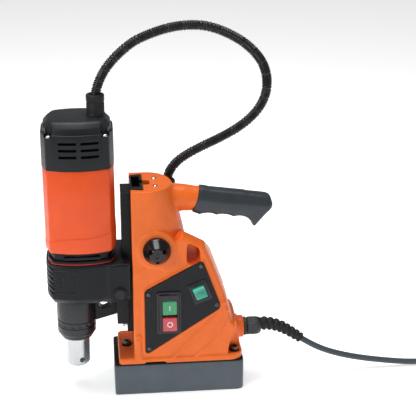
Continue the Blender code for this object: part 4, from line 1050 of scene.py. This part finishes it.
def build_case():
    levels = [(131.6, 7.4), (132.2, 6.2), (133.2, 5.2), (138.6, 0.9), (139.6, 0.25), (140.6, 0)]
    levels += [(141.6 + 1 * k, 0) for k in range(42)] + [(184.2, 0.1), (185.2, 0.6), (185.9, 1.5)]
    rings = []
    for z, inset in levels:
        ring = []
        for x, y in case_plan(inset):
            mask = 1 - step_up(x, -158.8, -157.4)
            wave = 0.5 - 0.5 * cos(2 * pi * (z - 145.6) / 6.6)
            groove = 1.7 * mask * wave ** 1.6 * step_up(z, 144, 146) * (1 - step_up(z, 184, 185.6))
            reach = Vector((x - MOTOR_X, y))
            reach -= reach.normalized() * groove
            ring.append((MOTOR_X + reach.x, reach.y, z))
        rings.append(ring)
    add("gear_case", loft(rings), "carriage", "gearbox_housing", "case", sharp=50)
    build_case_trim()
    leg_plan = filleted([(-79.4, -24), (-63.6, -24), (-63.6, -19.4), (-71.4, -19.4), (-71.4, 19.4),
        (-63.6, 19.4), (-63.6, 24), (-79.4, 24)], 1.2, 3)
    leg = loft([[(x, y, z) for x, y in leg_plan] for z in (93.8, 94.4, 142)])
    add("case_leg", leg, "carriage", "gearbox_housing", "case", edge=0.8, extra=True)
    brace = filleted([(-79, 101), (-79, 131.9), (-84.5, 131.9), (-86.5, 113.5), (-98, 108.5), (-102.5, 113),
        (-102.5, 131.9), (-107.8, 131.9), (-107.8, 93)], 1.6, 4)
    add("brace_casting", prism(brace, -7, 7, 'Y'), "carriage", "support_bracket", "case", edge=0.9)


def case_face(x):
    """Y of the case's near face: crowned under the motor, nearly flat where the block begins."""
    u = x - MOTOR_X
    crown = CROWN_R - sqrt(CROWN_R ** 2 - u ** 2)
    if u < 0:
        return crown - CASE_HALF
    block = 0.8 + 0.06 * (x + 86)
    share = step_up(x, -92.5, -87)
    return min(crown, 3.4) * (1 - share) + block * share - CASE_HALF


def build_case_trim():
    """Raised outlines on the case's near face, a cover plug and its rim."""
    beads = []
    for x0, x1, z0, z1, radius in ((-156.6, -128.6, 148.7, 179.7, 3.4), (-160.4, -145.8, 157, 174.5, 3)):
        inner, turn = x1 - radius, [pi / 2 * k / 6 for k in range(7)]
        outline = [(x0, z1)]
        outline += [(inner + radius * sin(a), z1 - radius + radius * cos(a)) for a in turn]
        outline += [(inner + radius * cos(a), z0 + radius - radius * sin(a)) for a in turn]
        outline.append((x0, z0))
        dense = smooth_route([(x, 0, z) for x, z in outline], 1.2)
        beads.append(tube([(p.x, case_face(p.x) - 0.05, p.z) for p in dense], 0.75, 10))
    for z in (160, 163.8, 167.6, 171.4):
        beads.append(tube([(x, case_face(x) - 0.05, z) for x in (-158.4, -156.5, -154.5, -152.5, -150.6)],
            0.7, 8))
    add("case_beads", merged(*beads), "carriage", "gearbox_housing", "case", sharp=180, extra=True)
    face = case_face(-75.5)
    plug = turned([(0, face - 2.6), (7.2, face - 2.6), (7.5, face - 2.3), (7.6, face - 1.2), (8, face - 1),
        (8.2, face - 2.2), (8.7, face - 2.5), (9.2, face - 2.2), (9.4, face - 1.6), (9.4, face + 3),
        (0, face + 3)], (-75.5, 0, 145), 'Y', 64)
    add("cover_plug", plug, "carriage", "carriage_plug", "case")


def build_quill():
    def marks(angle, radius, height):
        on = 90.6 < height < 94.6 and int(angle * 15 / pi) % 2
        return radius - (0.8 if on else 0)
    profile = [(16.9, 70), (19.2, 70), (20.2, 70.5), (22.6, 74.6), (23, 76.2), (24.6, 77.6), (25.3, 79),
        (25.3, 87.6), (24.5, 88), (24.5, 89), (25.3, 89.4), (25.3, 90.5), (25.3, 90.8), (25.3, 94.4),
        (25.3, 94.7), (25.3, 95.8), (24.5, 96.2), (24.5, 97.2), (25.3, 97.6), (25.3, 130.4), (24.9, 131.4),
        (16.9, 131.4)]
    add("quill_tube", turned(profile, (SPINDLE_X, 0, 0), 'Z', 120, marks), "carriage", "quill",
        "black_steel", sharp=30)


def build_arbor():
    """The bored arbor with a stepped hole and a socket set screw on both sides."""
    profile = [(0, 68), (9.5, 64), (9.5, 31.4), (10.6, 30), (13.4, 30), (13.9, 30.3), (16, 33.4),
        (16.3, 34.2), (16.3, 70), (16.3, 100), (0, 100)]
    body = turned(profile, (SPINDLE_X, 0, 0), 'Z', 96)
    holes, screws = [], []
    for a in (radians(-70), radians(110)):
        place = Matrix.Translation((SPINDLE_X, 0, 39.5)) @ Matrix.Rotation(a, 4, 'Z')
        holes.append(moved(turned([(0, 8), (3.3, 8), (3.3, 15.4), (4, 16.6), (4, 19), (0, 19)], (0, 0, 0),
            'X', 32), place))
        pin = cut(turned([(0, 8.6), (2.9, 8.6), (2.9, 13.6), (2.5, 14), (0, 14)], (0, 0, 0), 'X', 32),
            turned([(0, 12), (1.5, 12), (1.5, 15), (0, 15)], (0, 0, 0), 'X', 6))
        screws.append(moved(pin, place))
    add("arbor_body", cut(body, *holes), "spindle", "spindle_arbor", "ground_steel", sharp=30)
    for k, pin in enumerate(screws):
        node = "arbor_set_screw_%d" % (k + 1)
        add("arbor_pin_%d" % (k + 1), pin, "spindle", node, "dark_steel")


def build_slide():
    plan = [(-71, -19), (-58, -19), (-58, -27), (-43.2, -31), (-43.2, 31), (-58, 27), (-58, 19), (-71, 19)]
    grooves = [box(-72, -69.8, y - 1.6, y + 1.6, 60, 300) for y in (-9, 9)]
    body = cut(prism(plan, 80, 281), box(-72, -58.4, -40, 40, 272.5, 283),
        box(-72, -66.4, -40, 40, 70, 93.6), box(-56.4, -46.2, -21, 21, 268, 290),
        box(-46.2, -42, -6.3, 6.3, 70, 290), *grooves)
    add("slide_bar", body, "carriage", "slide", "slide_steel", edge=0.7)
    stop = turned([(0, -72.4), (2.4, -72.4), (2.8, -72), (2.8, -69.6), (1.6, -69.4), (1.6, -65.8),
        (0, -65.8)], (0, -8, 86), 'X', 24)
    add("slide_stop_screw", stop, "carriage", "slide", "steel", extra=True)


def build_hub():
    face = -43
    cone = turned([(0, face), (17.4, face), (17.7, face - 0.4), (17.7, face - 3.8), (17.3, face - 4.7),
        (16.6, face - 5.4), (10.4, face - 17), (9.6, face - 18.2), (8.8, face - 18.8), (3.4, face - 18.8),
        (2.9, face - 18.4), (2.9, face - 17.6), (0, face - 17.6)], (PINION_X, 0, PINION_Z), 'Y', 96)
    sockets = []
    for a in (30, 150, 270):
        a = radians(a)
        out = Vector((cos(a), -0.62, sin(a))).normalized()
        start = Vector((PINION_X, face - 10.5, PINION_Z)) + out * 9.2
        sockets.append(tube([start, start + out * 7, start + out * 14], 3.3, 32))
    add("feed_boss", cut(cone, *sockets), "feed", "feed_hub", "gloss", edge=0.3, sharp=30)


# ---------------------------------------------------------------- CAD nodes that stay
def dress_nodes():
    """A finish for each CAD node that keeps its own mesh."""
    kept = {"magnet_coil": "copper", "gib_screw_1": "dark_steel", "gib_screw_2": "dark_steel",
        "gib_strip": "bronze", "feed_bush_near": "bronze", "feed_bush_far": "bronze",
        "control_board": "board", "feed_rack": "steel", "stator": "dark_steel", "brush_near": "bronze",
        "brush_far": "bronze", "armature": "copper", "motor_fan": "cap", "idler_gears": "dark_steel",
        "spindle_gear": "dark_steel", "feed_shaft": "steel"}
    for node, finish in kept.items():
        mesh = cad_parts[node].data
        mesh.materials.clear()
        mesh.materials.append(FINISH[finish])


FINISH = finishes()
build_stage()
build_cords()
build_base()
build_frame()
build_frame_fittings()
build_grip()
build_panel()
build_motor_switch()
build_rocker_switch()
build_gland()
build_housing()
build_cap()
build_neck()
build_case()
build_quill()
build_arbor()
build_slide()
build_hub()
dress_nodes()
